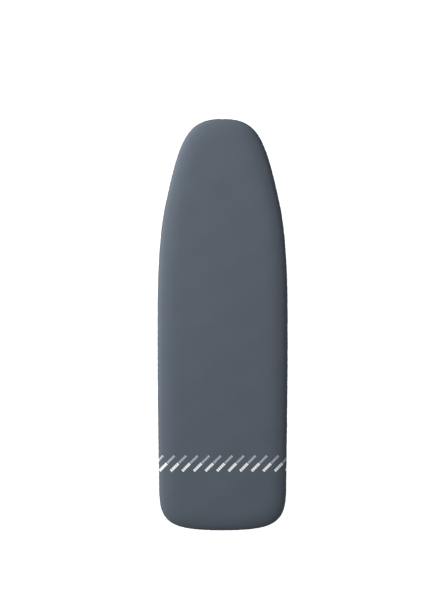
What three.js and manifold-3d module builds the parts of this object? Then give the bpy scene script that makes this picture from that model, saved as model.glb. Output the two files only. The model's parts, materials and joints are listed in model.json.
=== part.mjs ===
// Folding ironing board: padded, covered top on a steel frame, two crossed
// tubular legs, a stepless rod clamp with a release lever, and a storage hook.
// Millimetres. +Z up, origin on the floor under the middle of the board,
// +Y towards the pointed nose, X across the board. Legs stand open.
import * as THREE from 'three';
import { mergeVertices } from 'three/addons/utils/BufferGeometryUtils.js';
import Module from 'manifold-3d';

const wasm = await Module();
wasm.setup();

// ---- overall sizes ----
const BOARD_LENGTH = 1200; // nose to tail, over the cover
const BOARD_WIDTH = 380; // widest point, over the cover
const TOP_HEIGHT = 900; // floor to ironing surface, legs fully open
const LEG_ANGLE = 57.07; // legs to floor, degrees, fully open

// ---- clearances ----
const SEAT_GAP = 0.3; // between pieces that lie or are joined together
const RUN_GAP = 0.3; // all round a shaft that turns or slides in a hole

// ---- covered top ----
const COVER_THICKNESS = 1.2;
const PAD_THICKNESS = 8;
const PANEL_THICKNESS = 1;
const RIM_RADIUS = 6; // rolled tube round the edge of the frame
const RIM_WALL = 1.5;
const RIM_SEAM = 40; // degrees of its section left open, facing inwards
const SIDE_PADDING = 6; // cover and pad outside the rim tube
const EDGE_ROUND = 16; // how far the soft edge is rounded over
const EDGE_STEPS = 4; // flats round the soft edge
const HEM_ROOM = 2; // rim tube to hem fold
const ELASTIC_RADIUS = 1.3;

// ---- frame under the top ----
const MEMBER_DEPTH = 11;
const MEMBER_WIDTH = 40;
const SHEET = 2; // rails and brackets
const THIN_SHEET = 1.5; // cross-members
const RAIL_DEPTH = 49.6;
const RAIL_FLANGE = 20;
const PIVOT_DROP = 31.6; // underside of the cross-members to the leg pivots

// ---- legs ----
const LEG_RADIUS = 11;
const TUBE_WALL = 1.2;
const LEG_SPACE = 6; // outer tube to inner tube
const CROSS_RADIUS = 8; // crossbar and brace
const BRACE_RISE = 70; // folded brace ahead of the outer leg's hinge
const TUBE_OVERHANG = 14; // tube end beyond its pivot
const FOOT_RADIUS = 15; // over the plastic foot caps
const FOOT_CAP_SPACE = 6; // leg tube to the foot cap's mouth
const BOLT_RADIUS = 4;
const HEAD_RADIUS = 7;
const HEAD_THICKNESS = 3;

// ---- rod clamp ----
const ROD_RADIUS = 4;
const HOUSING_SHEET = 2.5;
const PLATE_THICKNESS = 3;
const PLATE_WIDTH = 30;
const PLATE_TILT = 8; // degrees, gripping
const GRIP_HEIGHT = 17; // fulcrum of the clamp plates to the rod
const PLATE_RISE = 41; // fulcrum to the top of the plates
const BOSS_RADIUS = 3;
const LEVER_WIDTH = 12;
const LEVER_THICKNESS = 3;
const PIVOT_TO_RAIL = 20; // lever pivot to the left rail
const SPRING_WIRE = 0.8; // radius
const SPRING_RADIUS = 7.2;
const SPRING_TURNS = 7;

// ---- storage hook ----
const HOOK_WIDTH = 10.8;
const HOOK_BAR = 6; // thickness round its mouth
const HOOK_ROOM = 0.8; // round the folded brace
const HOOK_PIN = 2.5;
const HOOK_KNUCKLE = 7; // radius round its pin
const HOOK_PARKED = 60; // degrees back from the latched place

const rad = THREE.MathUtils.degToRad;

// ================= derived levels and places =================
const halfWidth = BOARD_WIDTH / 2;
const padTop = TOP_HEIGHT - COVER_THICKNESS - SEAT_GAP;
const padBottom = padTop - PAD_THICKNESS;
const panelTop = padBottom - SEAT_GAP;
const panelBottom = panelTop - PANEL_THICKNESS;
const rimZ = panelBottom - SEAT_GAP - RIM_RADIUS;
const rimBottom = rimZ - RIM_RADIUS;
const rimInset = SIDE_PADDING + RIM_RADIUS;
const memberTop = panelBottom - SEAT_GAP;
const memberBottom = memberTop - MEMBER_DEPTH;
const frameTop = memberBottom - SEAT_GAP; // top of all that hangs from the members
const pivotZ = frameTop - PIVOT_DROP;

const legTurn = rad(LEG_ANGLE);
const legLength = (pivotZ - FOOT_RADIUS) / Math.sin(legTurn);
const pivotY = -0.25 * BOARD_LENGTH;
const crossAt = 0.2875 * BOARD_LENGTH; // along each leg, top pivot to crossing
const slideY = pivotY + 2 * crossAt * Math.cos(legTurn);
const foldedSlideY = pivotY + 2 * crossAt;
const slideTravel = foldedSlideY - slideY;
const braceAt = 2 * crossAt - BRACE_RISE;
const braceY = pivotY + BRACE_RISE; // when folded

const outerTubeX = 0.316 * BOARD_WIDTH;
const innerTubeX = outerTubeX - 2 * LEG_RADIUS - LEG_SPACE;
const railX = innerTubeX - LEG_RADIUS - RAIL_FLANGE - 1; // inside face of the web
const crossHalf = innerTubeX - LEG_RADIUS - SEAT_GAP;
const boltHead = outerTubeX + LEG_RADIUS + SEAT_GAP;
const outerFootHalf = 0.963 * halfWidth;
const innerFootHalf = 0.974 * halfWidth;
const footCapLength = outerFootHalf - outerTubeX - LEG_RADIUS - FOOT_CAP_SPACE;

const fulcrumY = slideY - 53;
const fulcrumZ = pivotZ - GRIP_HEIGHT;
const housingFront = fulcrumY + 26;
const housingRear = fulcrumY - 51;
const rodTail = housingRear - slideTravel - 11;
const leverPivotX = -(railX - PIVOT_TO_RAIL);
const bossGap = (PLATE_RISE - 2) * Math.tan(rad(PLATE_TILT)) + SEAT_GAP;
const leverPivotY = fulcrumY + bossGap + BOSS_RADIUS + 5.5;
const leverBottom = fulcrumZ + PLATE_RISE - 6;
const leverTop = leverBottom + LEVER_THICKNESS;

const hookPivotY = braceY - 2 * CROSS_RADIUS;
const hookPivotZ = frameTop - SHEET - HOOK_KNUCKLE - 2.6;
const hookX = railX - 25;

// ================= materials =================
function material(colour, roughness, metalness) {
  return new THREE.MeshStandardMaterial({ color: colour, roughness, metalness });
}
const looks = {
  cover: () => material('#575f69', 0.8, 0),
  elastic: () => material('#e8e6e0', 0.9, 0),
  pad: () => material('#d9d5cc', 0.95, 0),
  frame: () => material('#b9bcc0', 0.5, 0.6),
  steel: () => material('#c4c6c9', 0.3, 1),
  plastic: () => material('#2d3136', 0.6, 0),
  nylon: () => material('#e6e4de', 0.5, 0),
};

const group = new THREE.Group();

function addMesh(name, geometry, look, parent = group) {
  const mesh = new THREE.Mesh(geometry, looks[look]());
  mesh.name = name;
  parent.add(mesh);
  return mesh;
}

// ================= solids =================
function welded(geometry) {
  const plain = geometry.clone();
  plain.deleteAttribute('normal');
  plain.deleteAttribute('uv');
  return mergeVertices(plain, 1e-4);
}

function toManifold(geometry) {
  const closed = welded(geometry);
  return new wasm.Manifold(
    new wasm.Mesh({
      numProp: 3,
      vertProperties: new Float32Array(closed.attributes.position.array),
      triVerts: new Uint32Array(closed.index.array),
    }),
  );
}

function fromManifold(solid) {
  const mesh = solid.getMesh();
  const geometry = new THREE.BufferGeometry();
  geometry.setAttribute('position', new THREE.BufferAttribute(mesh.vertProperties, 3));
  geometry.setIndex(new THREE.BufferAttribute(mesh.triVerts, 1));
  return geometry;
}

function cut(geometry, ...tools) {
  let solid = toManifold(geometry);
  for (const tool of tools) {
    solid = solid.subtract(toManifold(tool));
  }
  return fromManifold(solid);
}

function join(geometry, ...others) {
  let solid = toManifold(geometry);
  for (const other of others) {
    solid = solid.add(toManifold(other));
  }
  return fromManifold(solid);
}

function indexed(points, faces) {
  const geometry = new THREE.BufferGeometry();
  geometry.setAttribute('position', new THREE.Float32BufferAttribute(points, 3));
  geometry.setIndex(faces);
  return geometry;
}

// A solid of revolution about Z from a profile of [radius, z] points, listed
// anticlockwise with the radius to the right. An open profile starts and ends
// on the axis; a closed one makes a ring. A facet faces +X, +Y, -X and -Y.
function revolve(profile, sides, closed = false) {
  const points = [];
  const rows = [];
  for (const [radius, z] of profile) {
    const row = [];
    for (let i = 0; i < (radius === 0 ? 1 : sides); i += 1) {
      const turn = ((i + 0.5) / sides) * 2 * Math.PI;
      row.push(points.length / 3);
      points.push(radius * Math.cos(turn), radius * Math.sin(turn), z);
    }
    rows.push(row);
  }
  const faces = [];
  const spans = closed ? rows.length : rows.length - 1;
  for (let k = 0; k < spans; k += 1) {
    const low = rows[k];
    const high = rows[(k + 1) % rows.length];
    for (let i = 0; i < sides; i += 1) {
      const j = (i + 1) % sides;
      if (low.length > 1) {
        faces.push(low[i], low[j], high[j % high.length]);
      }
      if (high.length > 1) {
        faces.push(low[i % low.length], high[j], high[i]);
      }
    }
  }
  return indexed(points, faces);
}

// A bar along Z whose facets touch its radius.
function bar(radius, from, to, sides) {
  const r = radius / Math.cos(Math.PI / sides);
  return revolve([[0, from], [r, from], [r, to], [0, to]], sides);
}

// A hollow bar along Z, open at both ends.
function pipe(radius, wall, from, to, sides) {
  const inner = radius - wall;
  return revolve([[inner, from], [radius, from], [radius, to], [inner, to]], sides, true);
}

// A tool for a hole that leaves a gap round a round shaft of a given radius.
function hole(shaft, gap, from, to, sides) {
  return bar(shaft + gap, from, to, sides);
}

function alongX(geometry) {
  return geometry.rotateY(Math.PI / 2);
}

function alongY(geometry) {
  return geometry.rotateX(-Math.PI / 2);
}

function block(x0, x1, y0, y1, z0, z1) {
  const box = new THREE.BoxGeometry(x1 - x0, y1 - y0, z1 - z0);
  return welded(box.translate((x0 + x1) / 2, (y0 + y1) / 2, (z0 + z1) / 2));
}

function extruded(shape, depth, options = {}) {
  return new THREE.ExtrudeGeometry(shape, {
    depth,
    bevelEnabled: false,
    curveSegments: 8,
    ...options,
  });
}

// Extrudes a section drawn in Y and Z along X.
function extrudedAlongX(shape, x0, x1) {
  const basis = new THREE.Matrix4().makeBasis(
    new THREE.Vector3(0, 1, 0),
    new THREE.Vector3(0, 0, 1),
    new THREE.Vector3(1, 0, 0),
  );
  return welded(extruded(shape, x1 - x0).applyMatrix4(basis).translate(x0, 0, 0));
}

// Extrudes a section drawn in X and Z along Y.
function extrudedAlongY(shape, y0, y1) {
  return welded(extruded(shape, y1 - y0).rotateX(Math.PI / 2).translate(0, y1, 0));
}

function polygon(points) {
  return new THREE.Shape(points.map(([x, y]) => new THREE.Vector2(x, y)));
}

// ================= outline of the top =================
// Four curves from the nose tip to the middle of the tail. Each point is
// [share of the half width, share of the length back from the nose].
const OUTLINE_CURVES = [
  { points: [[0, 0], [0.54, 0], [0.655, 0.045], [0.876, 0.206]], steps: 9 },
  { points: [[0.876, 0.206], [0.996, 0.297], [1, 0.421], [1, 0.517]], steps: 5 },
  { points: [[1, 0.517], [1, 0.683], [0.986, 0.775], [0.976, 0.9]], steps: 4 },
  { points: [[0.976, 0.9], [0.97, 0.981], [0.816, 1], [0, 1]], steps: 9 },
];

function outlineSide() {
  const side = [];
  for (const { points, steps } of OUTLINE_CURVES) {
    const place = ([share, back]) =>
      new THREE.Vector2(share * halfWidth, BOARD_LENGTH * (0.5 - back));
    const curve = new THREE.CubicBezierCurve(...points.map(place));
    for (let i = 0; i < steps; i += 1) {
      const t = i / steps;
      const along = curve.getTangent(t);
      side.push({ at: curve.getPoint(t), out: new THREE.Vector2(-along.y, along.x) });
    }
  }
  return side;
}

const side = outlineSide();
const tail = { at: new THREE.Vector2(0, -BOARD_LENGTH / 2), out: new THREE.Vector2(0, -1) };
side[0].out.set(0, 1);
const mirrored = ({ at, out }) => ({
  at: new THREE.Vector2(-at.x, at.y),
  out: new THREE.Vector2(-out.x, out.y),
});
// Anticlockwise from above: nose, left side, tail, right side.
const outline = [
  side[0],
  ...side.slice(1).map(mirrored),
  tail,
  ...side.slice(1).reverse(),
];

// Half width at a place along the top, an inset in from its outline.
function halfWidthAt(y, inset) {
  const points = [...side, tail].map(({ at, out }) => at.clone().addScaledVector(out, -inset));
  for (let i = 0; i + 1 < points.length; i += 1) {
    const a = points[i];
    const b = points[i + 1];
    if (y <= a.y && y >= b.y) {
      return a.x + ((b.x - a.x) * (a.y - y)) / (a.y - b.y);
    }
  }
  return 0;
}

// A solid that follows the outline. Its section is a list of [inset, z] points
// read from the top middle, over the edge and back underneath.
function edgeLoft(section, ring = false) {
  const points = [];
  for (const [inset, z] of section) {
    for (const { at, out } of outline) {
      points.push(at.x - out.x * inset, at.y - out.y * inset, z);
    }
  }
  const count = outline.length;
  const faces = [];
  const spans = ring ? section.length : section.length - 1;
  for (let k = 0; k < spans; k += 1) {
    const upper = k * count;
    const lower = ((k + 1) % section.length) * count;
    for (let i = 0; i < count; i += 1) {
      const j = (i + 1) % count;
      faces.push(upper + i, lower + i, lower + j);
      faces.push(upper + i, lower + j, upper + j);
    }
  }
  if (!ring) {
    const last = (section.length - 1) * count;
    for (let i = 1; i < count / 2; i += 1) {
      // The two sides mirror each other, so the ends are strips across the top.
      const left = i;
      const right = count - i;
      const nextLeft = i + 1;
      const nextRight = count - i - 1;
      const ends = nextLeft === nextRight ? [] : [[right, left, nextRight]];
      ends.push(nextLeft === nextRight ? [right, left, nextLeft] : [left, nextLeft, nextRight]);
      for (const [a, b, c] of ends) {
        faces.push(a, b, c);
        faces.push(last + a, last + c, last + b);
      }
    }
    faces.push(0, 1, count - 1);
    faces.push(last, last + count - 1, last + 1);
  }
  return indexed(points, faces);
}

// A round section for a tube that follows the outline, read the same way.
function roundSection(inset, z, radius, sides) {
  const section = [];
  for (let i = 0; i < sides; i += 1) {
    const turn = ((i + 0.5) / sides) * 2 * Math.PI;
    section.push([inset - radius * Math.sin(turn), z + radius * Math.cos(turn)]);
  }
  return section;
}

// ================= cover, pad, panel and rim =================
// The line that the inside of the cover takes: over the pad's rounded edge,
// under the rim tube and round the elastic in its hem.
const hemInset = rimInset + RIM_RADIUS + HEM_ROOM + ELASTIC_RADIUS + 2.4;
const hemZ = rimBottom - SEAT_GAP - 2.6;
const sideZ = rimZ + 2;

function coverLine(shift) {
  // shift is 0 for the outside of the cloth and 1 for its inside.
  const step = shift * COVER_THICKNESS;
  const line = [];
  const tall = TOP_HEIGHT - sideZ;
  for (let i = 0; i <= EDGE_STEPS; i += 1) {
    const turn = (i / EDGE_STEPS) * (Math.PI / 2);
    const across = EDGE_ROUND - (EDGE_ROUND - step) * Math.sin(turn);
    line.push([across, sideZ + (tall - step) * Math.cos(turn)]);
  }
  const under = rimBottom - SEAT_GAP - COVER_THICKNESS + step;
  const drop = sideZ - under;
  for (let i = 1; i <= 3; i += 1) {
    const turn = (i / 3) * (Math.PI / 2);
    const reach = rimInset - step;
    line.push([step + reach * (1 - Math.cos(turn)), sideZ - drop * Math.sin(turn)]);
  }
  const room = (ELASTIC_RADIUS + SEAT_GAP) / Math.cos(Math.PI / 6) + COVER_THICKNESS - step;
  for (const degrees of [240, 300, 0, 60, 120]) {
    const turn = rad(degrees);
    line.push([hemInset + room * Math.cos(turn), hemZ + room * Math.sin(turn)]);
  }
  return line;
}

addMesh('cover', edgeLoft([...coverLine(0), ...coverLine(1).reverse()]), 'cover');
addMesh('hem_elastic', edgeLoft(roundSection(hemInset, hemZ, ELASTIC_RADIUS, 5), true), 'elastic');

const padSide = COVER_THICKNESS + SEAT_GAP;
const padInside = SIDE_PADDING - SEAT_GAP;
const padSection = [];
for (let i = 0; i <= EDGE_STEPS; i += 1) {
  const turn = (i / EDGE_STEPS) * (Math.PI / 2);
  padSection.push([
    EDGE_ROUND - (EDGE_ROUND - padSide) * Math.sin(turn),
    sideZ + (padTop - sideZ) * Math.cos(turn),
  ]);
}
padSection.push([padInside, sideZ], [padInside, rimZ + RIM_RADIUS], [padInside + 0.8, padBottom]);
addMesh('pad', edgeLoft(padSection), 'pad');

const panelInset = padInside + 0.8 + SEAT_GAP;
addMesh('top_panel', edgeLoft([[panelInset, panelTop], [panelInset, panelBottom]]), 'frame');

// The rim is rolled from strip, so its section is a C with the seam inwards.
function seamedSection(inset, z, radius, wall, seam, steps) {
  const section = [];
  const arc = (r, i) => {
    const turn = rad(90 + seam / 2 + ((360 - seam) * i) / steps);
    section.push([inset + r * Math.sin(turn), z + r * Math.cos(turn)]);
  };
  for (let i = steps; i >= 0; i -= 1) {
    arc(radius, i);
  }
  for (let i = 0; i <= steps; i += 1) {
    arc(radius - wall, i);
  }
  return section;
}

const rimSection = seamedSection(rimInset, rimZ, RIM_RADIUS, RIM_WALL, RIM_SEAM, 8);
addMesh('rim', edgeLoft(rimSection, true), 'frame');

// ================= cross-members =================
// An upside-down channel across the frame, welded between the rim's two sides.
function crossMember(name, y) {
  const half = MEMBER_WIDTH / 2;
  const inset = rimInset + RIM_RADIUS + SEAT_GAP;
  const reach = Math.min(halfWidthAt(y - half, inset), halfWidthAt(y + half, inset));
  const section = polygon([
    [y - half, memberBottom],
    [y - half + THIN_SHEET, memberBottom],
    [y - half + THIN_SHEET, memberTop - THIN_SHEET],
    [y + half - THIN_SHEET, memberTop - THIN_SHEET],
    [y + half - THIN_SHEET, memberBottom],
    [y + half, memberBottom],
    [y + half, memberTop],
    [y - half, memberTop],
  ]);
  addMesh(name, extrudedAlongX(section, -reach, reach), 'frame');
}

const centreMemberY = (housingFront + housingRear) / 2;
const noseMemberY = foldedSlideY + 12;
crossMember('tail_member', -0.44 * BOARD_LENGTH);
crossMember('hinge_member', pivotY);
crossMember('centre_member', centreMemberY);
crossMember('nose_member', noseMemberY);

// ================= slide rails =================
const shoeHalf = 15; // along the rail
const shoeHeight = 12; // half of it, in the slot
const railStart = pivotY - 45;
const slotStart = slideY - shoeHalf - 3;
const slotEnd = foldedSlideY + shoeHalf + 3;
const leverReach = railX + SHEET - leverPivotX;
const leverSweep = leverReach * Math.tan(rad(PLATE_TILT));

function rail(name, hand, ...windows) {
  const webBottom = frameTop - RAIL_DEPTH;
  const corners = [
    [railX, webBottom],
    [railX + SHEET, webBottom],
    [railX + SHEET, frameTop - SHEET],
    [railX + RAIL_FLANGE, frameTop - SHEET],
    [railX + RAIL_FLANGE, frameTop],
    [railX, frameTop],
  ];
  const section = polygon(corners.map(([x, z]) => [hand * x, z]));
  const solid = extrudedAlongY(section, railStart, noseMemberY + MEMBER_WIDTH / 2);
  const high = shoeHeight + RUN_GAP;
  const web = [hand * railX, hand * (railX + SHEET)].sort((a, b) => a - b);
  const through = (y0, y1, z0, z1) => block(web[0] - 1, web[1] + 1, y0, y1, z0, z1);
  const slot = through(slotStart, slotEnd, pivotZ - high, pivotZ + high);
  // The web is shallow at the tail end, where the folded brace lies across it.
  const notch = through(railStart - 1, braceY + 30, webBottom - 1, pivotZ + CROSS_RADIUS + 4);
  const cuts = [slot, notch, ...windows.map((window) => through(...window))];
  addMesh(name, cut(solid, ...cuts), 'frame');
}

const leverWindow = [
  leverPivotY - LEVER_WIDTH / 2 - leverSweep - 3,
  leverPivotY + LEVER_WIDTH / 2 + 3,
  leverBottom - 2.5,
  leverTop + 2.5,
];
rail('rail_left', -1);
rail('rail_right', 1, leverWindow);

// ================= hinges of the outer leg =================
function hingeBracket(name, hand) {
  const inner = LEG_RADIUS + 0.6;
  const outer = inner + SHEET;
  const low = pivotZ - 14;
  const half = MEMBER_WIDTH / 2 - 2;
  const corners = [
    [-outer, low],
    [-inner, low],
    [-inner, frameTop - SHEET],
    [inner, frameTop - SHEET],
    [inner, low],
    [outer, low],
    [outer, frameTop],
    [-outer, frameTop],
  ];
  const x = hand * outerTubeX;
  const section = polygon(corners.map(([across, z]) => [x + across, z]));
  const solid = extrudedAlongY(section, pivotY - half, pivotY + half);
  const bore = alongX(hole(BOLT_RADIUS, RUN_GAP, -outer - 1, outer + 1, 16));
  addMesh(name, cut(solid, bore.translate(x, pivotY, pivotZ)), 'frame');

  const thin = 1.8;
  const pinEnd = outer + SEAT_GAP;
  const pin = revolve(
    [
      [0, -pinEnd - thin],
      [HEAD_RADIUS - 1, -pinEnd - thin],
      [HEAD_RADIUS - 1, -pinEnd],
      [BOLT_RADIUS, -pinEnd],
      [BOLT_RADIUS, pinEnd],
      [HEAD_RADIUS, pinEnd],
      [HEAD_RADIUS, pinEnd + HEAD_THICKNESS - 1],
      [HEAD_RADIUS - 2, pinEnd + HEAD_THICKNESS],
      [0, pinEnd + HEAD_THICKNESS],
    ],
    16,
  );
  const mesh = addMesh(name.replace('bracket', 'pin'), alongX(pin), 'steel');
  mesh.position.set(x, pivotY, pivotZ);
  mesh.rotation.z = hand < 0 ? Math.PI : 0;
}
hingeBracket('hinge_bracket_left', -1);
hingeBracket('hinge_bracket_right', 1);

// ================= outer leg =================
// Each leg is built in its own group: Z runs down the leg from its top pivot.
const outerLeg = new THREE.Group();
outerLeg.position.set(0, pivotY, pivotZ);
outerLeg.rotation.x = -(Math.PI / 2 + legTurn);
group.add(outerLeg);

const innerLeg = new THREE.Group();
innerLeg.position.set(0, slideY, pivotZ);
innerLeg.rotation.x = Math.PI / 2 + legTurn;
group.add(innerLeg);

function crossHole(at) {
  const reach = LEG_RADIUS + 1;
  return alongX(hole(BOLT_RADIUS, RUN_GAP, -reach, reach, 12)).translate(0, 0, at);
}

function legTube(name, parent, x, holes) {
  const end = legLength - LEG_RADIUS - SEAT_GAP;
  const tube = pipe(LEG_RADIUS, TUBE_WALL, -TUBE_OVERHANG, end, 20);
  const mesh = addMesh(name, cut(tube, ...holes.map(crossHole)), 'frame', parent);
  mesh.position.x = x;
}

function topPlug(name, parent, x) {
  const stem = LEG_RADIUS - TUBE_WALL - SEAT_GAP;
  const lip = -TUBE_OVERHANG - SEAT_GAP;
  const plug = revolve(
    [
      [0, lip - 2],
      [LEG_RADIUS - 1.5, lip - 2],
      [LEG_RADIUS, lip - 1],
      [LEG_RADIUS, lip],
      [stem, lip],
      [stem, lip + 7],
      [0, lip + 7],
    ],
    20,
  );
  addMesh(name, plug, 'plastic', parent).position.x = x;
}

function footBar(name, parent, half) {
  const reach = half - 3;
  const geometry = alongX(pipe(LEG_RADIUS, TUBE_WALL, -reach, reach, 20));
  addMesh(name, geometry, 'frame', parent).position.z = legLength;
}

// A round plastic cap over the end of a foot bar, a flat facet on the floor.
function footCap(name, parent, half, hand) {
  const radius = FOOT_RADIUS / Math.cos(Math.PI / 24);
  const bore = (LEG_RADIUS + SEAT_GAP) / Math.cos(Math.PI / 24);
  const mouth = half - footCapLength;
  const closed = half - 3 + SEAT_GAP;
  const cap = revolve(
    [
      [0, closed],
      [bore, closed],
      [bore, mouth],
      [radius - 1, mouth],
      [radius, mouth + 1],
      [radius, half - 6],
      [radius - 2, half - 2],
      [radius - 5.5, half],
      [0, half],
    ],
    24,
  );
  const mesh = addMesh(name, alongX(cap), 'plastic', parent);
  mesh.position.z = legLength;
  mesh.rotation.set(-parent.rotation.x, 0, 0);
  if (hand < 0) {
    mesh.geometry.rotateZ(Math.PI);
  }
}

for (const [word, hand] of [['left', -1], ['right', 1]]) {
  legTube(`outer_leg_tube_${word}`, outerLeg, hand * outerTubeX, [0, crossAt]);
  topPlug(`outer_top_plug_${word}`, outerLeg, hand * outerTubeX);
  footCap(`outer_foot_cap_${word}`, outerLeg, outerFootHalf, hand);
}
footBar('outer_foot_bar', outerLeg, outerFootHalf);

// ================= inner leg =================
for (const [word, hand] of [['left', -1], ['right', 1]]) {
  legTube(`inner_leg_tube_${word}`, innerLeg, hand * innerTubeX, [crossAt]);
  topPlug(`inner_top_plug_${word}`, innerLeg, hand * innerTubeX);
  footCap(`inner_foot_cap_${word}`, innerLeg, innerFootHalf, hand);
}
footBar('inner_foot_bar', innerLeg, innerFootHalf);

function crossTube(name, at) {
  const geometry = alongX(pipe(CROSS_RADIUS, TUBE_WALL, -crossHalf, crossHalf, 20));
  addMesh(name, geometry, 'frame', innerLeg).position.z = at;
}
crossTube('crossbar', 0);
crossTube('inner_brace', braceAt);

// ================= bolts where the legs cross =================
function crossBolt(word, hand) {
  const nutFace = innerTubeX - LEG_RADIUS - SEAT_GAP;
  const nutLength = 6;
  const bolt = revolve(
    [
      [0, nutFace - nutLength + 1.5],
      [BOLT_RADIUS, nutFace - nutLength + 1.5],
      [BOLT_RADIUS, boltHead],
      [HEAD_RADIUS, boltHead],
      [HEAD_RADIUS, boltHead + HEAD_THICKNESS - 1.5],
      [HEAD_RADIUS - 2.5, boltHead + HEAD_THICKNESS],
      [0, boltHead + HEAD_THICKNESS],
    ],
    16,
  );
  const bore = (BOLT_RADIUS + RUN_GAP) / Math.cos(Math.PI / 16);
  const nut = revolve(
    [
      [0, nutFace - nutLength - 1.5],
      [HEAD_RADIUS - 3, nutFace - nutLength - 1],
      [HEAD_RADIUS, nutFace - nutLength + 2],
      [HEAD_RADIUS, nutFace],
      [bore, nutFace],
      [bore, nutFace - nutLength + 1],
      [0, nutFace - nutLength + 1],
    ],
    16,
  );
  const washerFrom = innerTubeX + LEG_RADIUS + SEAT_GAP;
  const washerTo = outerTubeX - LEG_RADIUS - SEAT_GAP;
  const washer = revolve(
    [
      [bore, washerFrom],
      [HEAD_RADIUS + 2, washerFrom],
      [HEAD_RADIUS + 2, washerTo],
      [bore, washerTo],
    ],
    16,
    true,
  );
  const pieces = [
    ['cross_bolt', bolt, 'steel'],
    ['cross_nut', nut, 'steel'],
    ['cross_spacer', washer, 'nylon'],
  ];
  for (const [name, solid, look] of pieces) {
    const mesh = addMesh(`${name}_${word}`, alongX(solid), look, outerLeg);
    mesh.position.z = crossAt;
    mesh.rotation.z = hand < 0 ? Math.PI : 0;
  }
}
crossBolt('left', -1);
crossBolt('right', 1);

// ================= carriage =================
const crossBore = (from, to) => alongX(hole(CROSS_RADIUS, RUN_GAP, from, to, 20));

function slideShoe(name, hand) {
  const inside = railX - SEAT_GAP;
  const outside = railX + SHEET + SEAT_GAP;
  const flange = shoeHeight + 4;
  const body = block(inside - 3, outside + 3, -shoeHalf, shoeHalf, -shoeHeight, shoeHeight);
  const lips = [
    block(inside - 5, inside, -shoeHalf, shoeHalf, -flange, flange),
    block(outside, outside + 5, -shoeHalf, shoeHalf, -flange, flange),
  ];
  const shoe = cut(join(body, ...lips), crossBore(railX - 10, railX + 12));
  const mesh = addMesh(name, shoe, 'nylon');
  mesh.position.set(0, slideY, pivotZ);
  mesh.rotation.z = hand < 0 ? Math.PI : 0;
}
slideShoe('slide_shoe_left', -1);
slideShoe('slide_shoe_right', 1);

const eyeRadius = CROSS_RADIUS + 6;
const eyeReach = eyeRadius + 8; // from the crossbar to the rod's side
const rodSeat = eyeRadius - 1;
const rodShank = block(-9, 9, -eyeReach, 0, -9, 9);
const rodEye = cut(
  join(alongX(bar(eyeRadius, -10, 10, 20)), rodShank),
  crossBore(-11, 11),
  alongY(hole(ROD_RADIUS, SEAT_GAP, -eyeReach - 1, -rodSeat + SEAT_GAP, 16)),
);
addMesh('rod_eye', rodEye, 'plastic').position.set(0, slideY, pivotZ);

const rod = alongY(bar(ROD_RADIUS, rodTail, slideY - rodSeat, 16));
addMesh('clamp_rod', rod, 'steel').position.z = pivotZ;

const stopBore = (ROD_RADIUS + SEAT_GAP) / Math.cos(Math.PI / 16);
const rodStop = revolve([[stopBore, 0], [7.5, 0], [7.5, 5], [stopBore, 5]], 16, true);
addMesh('rod_stop', alongY(rodStop), 'plastic').position.set(0, rodTail + 2, pivotZ);

// ================= clamp housing =================
const lipY = fulcrumY + SEAT_GAP;
const lipThickness = 2;
const housingLow = fulcrumZ - 7;
const rearLow = fulcrumZ - 1;
const wall = HOUSING_SHEET;
const housingSection = polygon([
  [housingRear, rearLow],
  [housingRear + wall, rearLow],
  [housingRear + wall, frameTop - wall],
  [housingFront - wall, frameTop - wall],
  [housingFront - wall, housingLow + wall],
  [lipY + lipThickness, housingLow + wall],
  [lipY + lipThickness, fulcrumZ],
  [lipY, fulcrumZ],
  [lipY, housingLow],
  [housingFront, housingLow],
  [housingFront, frameTop],
  [housingRear, frameTop],
]);
const pinHole = hole(BOLT_RADIUS, RUN_GAP, frameTop - wall - 1, frameTop + 1, 16);
const rodHole = alongY(hole(ROD_RADIUS, 2 * RUN_GAP, housingRear - 1, housingFront + 1, 16));
addMesh(
  'clamp_housing',
  cut(
    extrudedAlongX(housingSection, leverPivotX - 12, PLATE_WIDTH / 2 + 5),
    rodHole.translate(0, 0, pivotZ),
    pinHole.translate(leverPivotX, leverPivotY, 0),
  ),
  'frame',
);

// ================= clamp plates =================
const clampPlates = new THREE.Group();
clampPlates.position.set(0, fulcrumY, fulcrumZ);
clampPlates.rotation.x = -rad(PLATE_TILT);
group.add(clampPlates);

// A tilted hole needs more room round the rod than a square one.
const stack = 2 * PLATE_THICKNESS + SEAT_GAP;
const tiltRoom = stack * Math.sin(rad(PLATE_TILT)) + RUN_GAP - 0.2;
function clampPlate(name, front) {
  const half = PLATE_WIDTH / 2;
  const plate = block(-half, half, front - PLATE_THICKNESS, front, -4, PLATE_RISE);
  const bore = alongY(hole(ROD_RADIUS, tiltRoom, front - PLATE_THICKNESS - 1, front + 1, 16));
  addMesh(name, cut(plate, bore.translate(0, 0, GRIP_HEIGHT)), 'steel', clampPlates);
}
clampPlate('front_clamp_plate', 0);
clampPlate('rear_clamp_plate', -PLATE_THICKNESS - SEAT_GAP);

// ================= clamp spring =================
const springStart = housingRear + wall + SEAT_GAP + SPRING_WIRE;
const plateLean = (GRIP_HEIGHT - SPRING_RADIUS - SPRING_WIRE) * Math.tan(rad(PLATE_TILT));
const springEnd =
  fulcrumY + plateLean - stack / Math.cos(rad(PLATE_TILT)) - SEAT_GAP - SPRING_WIRE - 0.1;

class Coil extends THREE.Curve {
  getPoint(t, target = new THREE.Vector3()) {
    const turn = (t * SPRING_TURNS - 0.25) * 2 * Math.PI; // starts and ends lowest
    return target.set(
      SPRING_RADIUS * Math.cos(turn),
      springStart + (springEnd - springStart) * t,
      pivotZ + SPRING_RADIUS * Math.sin(turn),
    );
  }
}
const wireSection = new THREE.Shape();
wireSection.absarc(0, 0, SPRING_WIRE, 0, 2 * Math.PI);
const spring = extruded(wireSection, 1, {
  steps: SPRING_TURNS * 10,
  curveSegments: 3,
  extrudePath: new Coil(),
});
addMesh('clamp_spring', welded(spring), 'steel');

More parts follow.
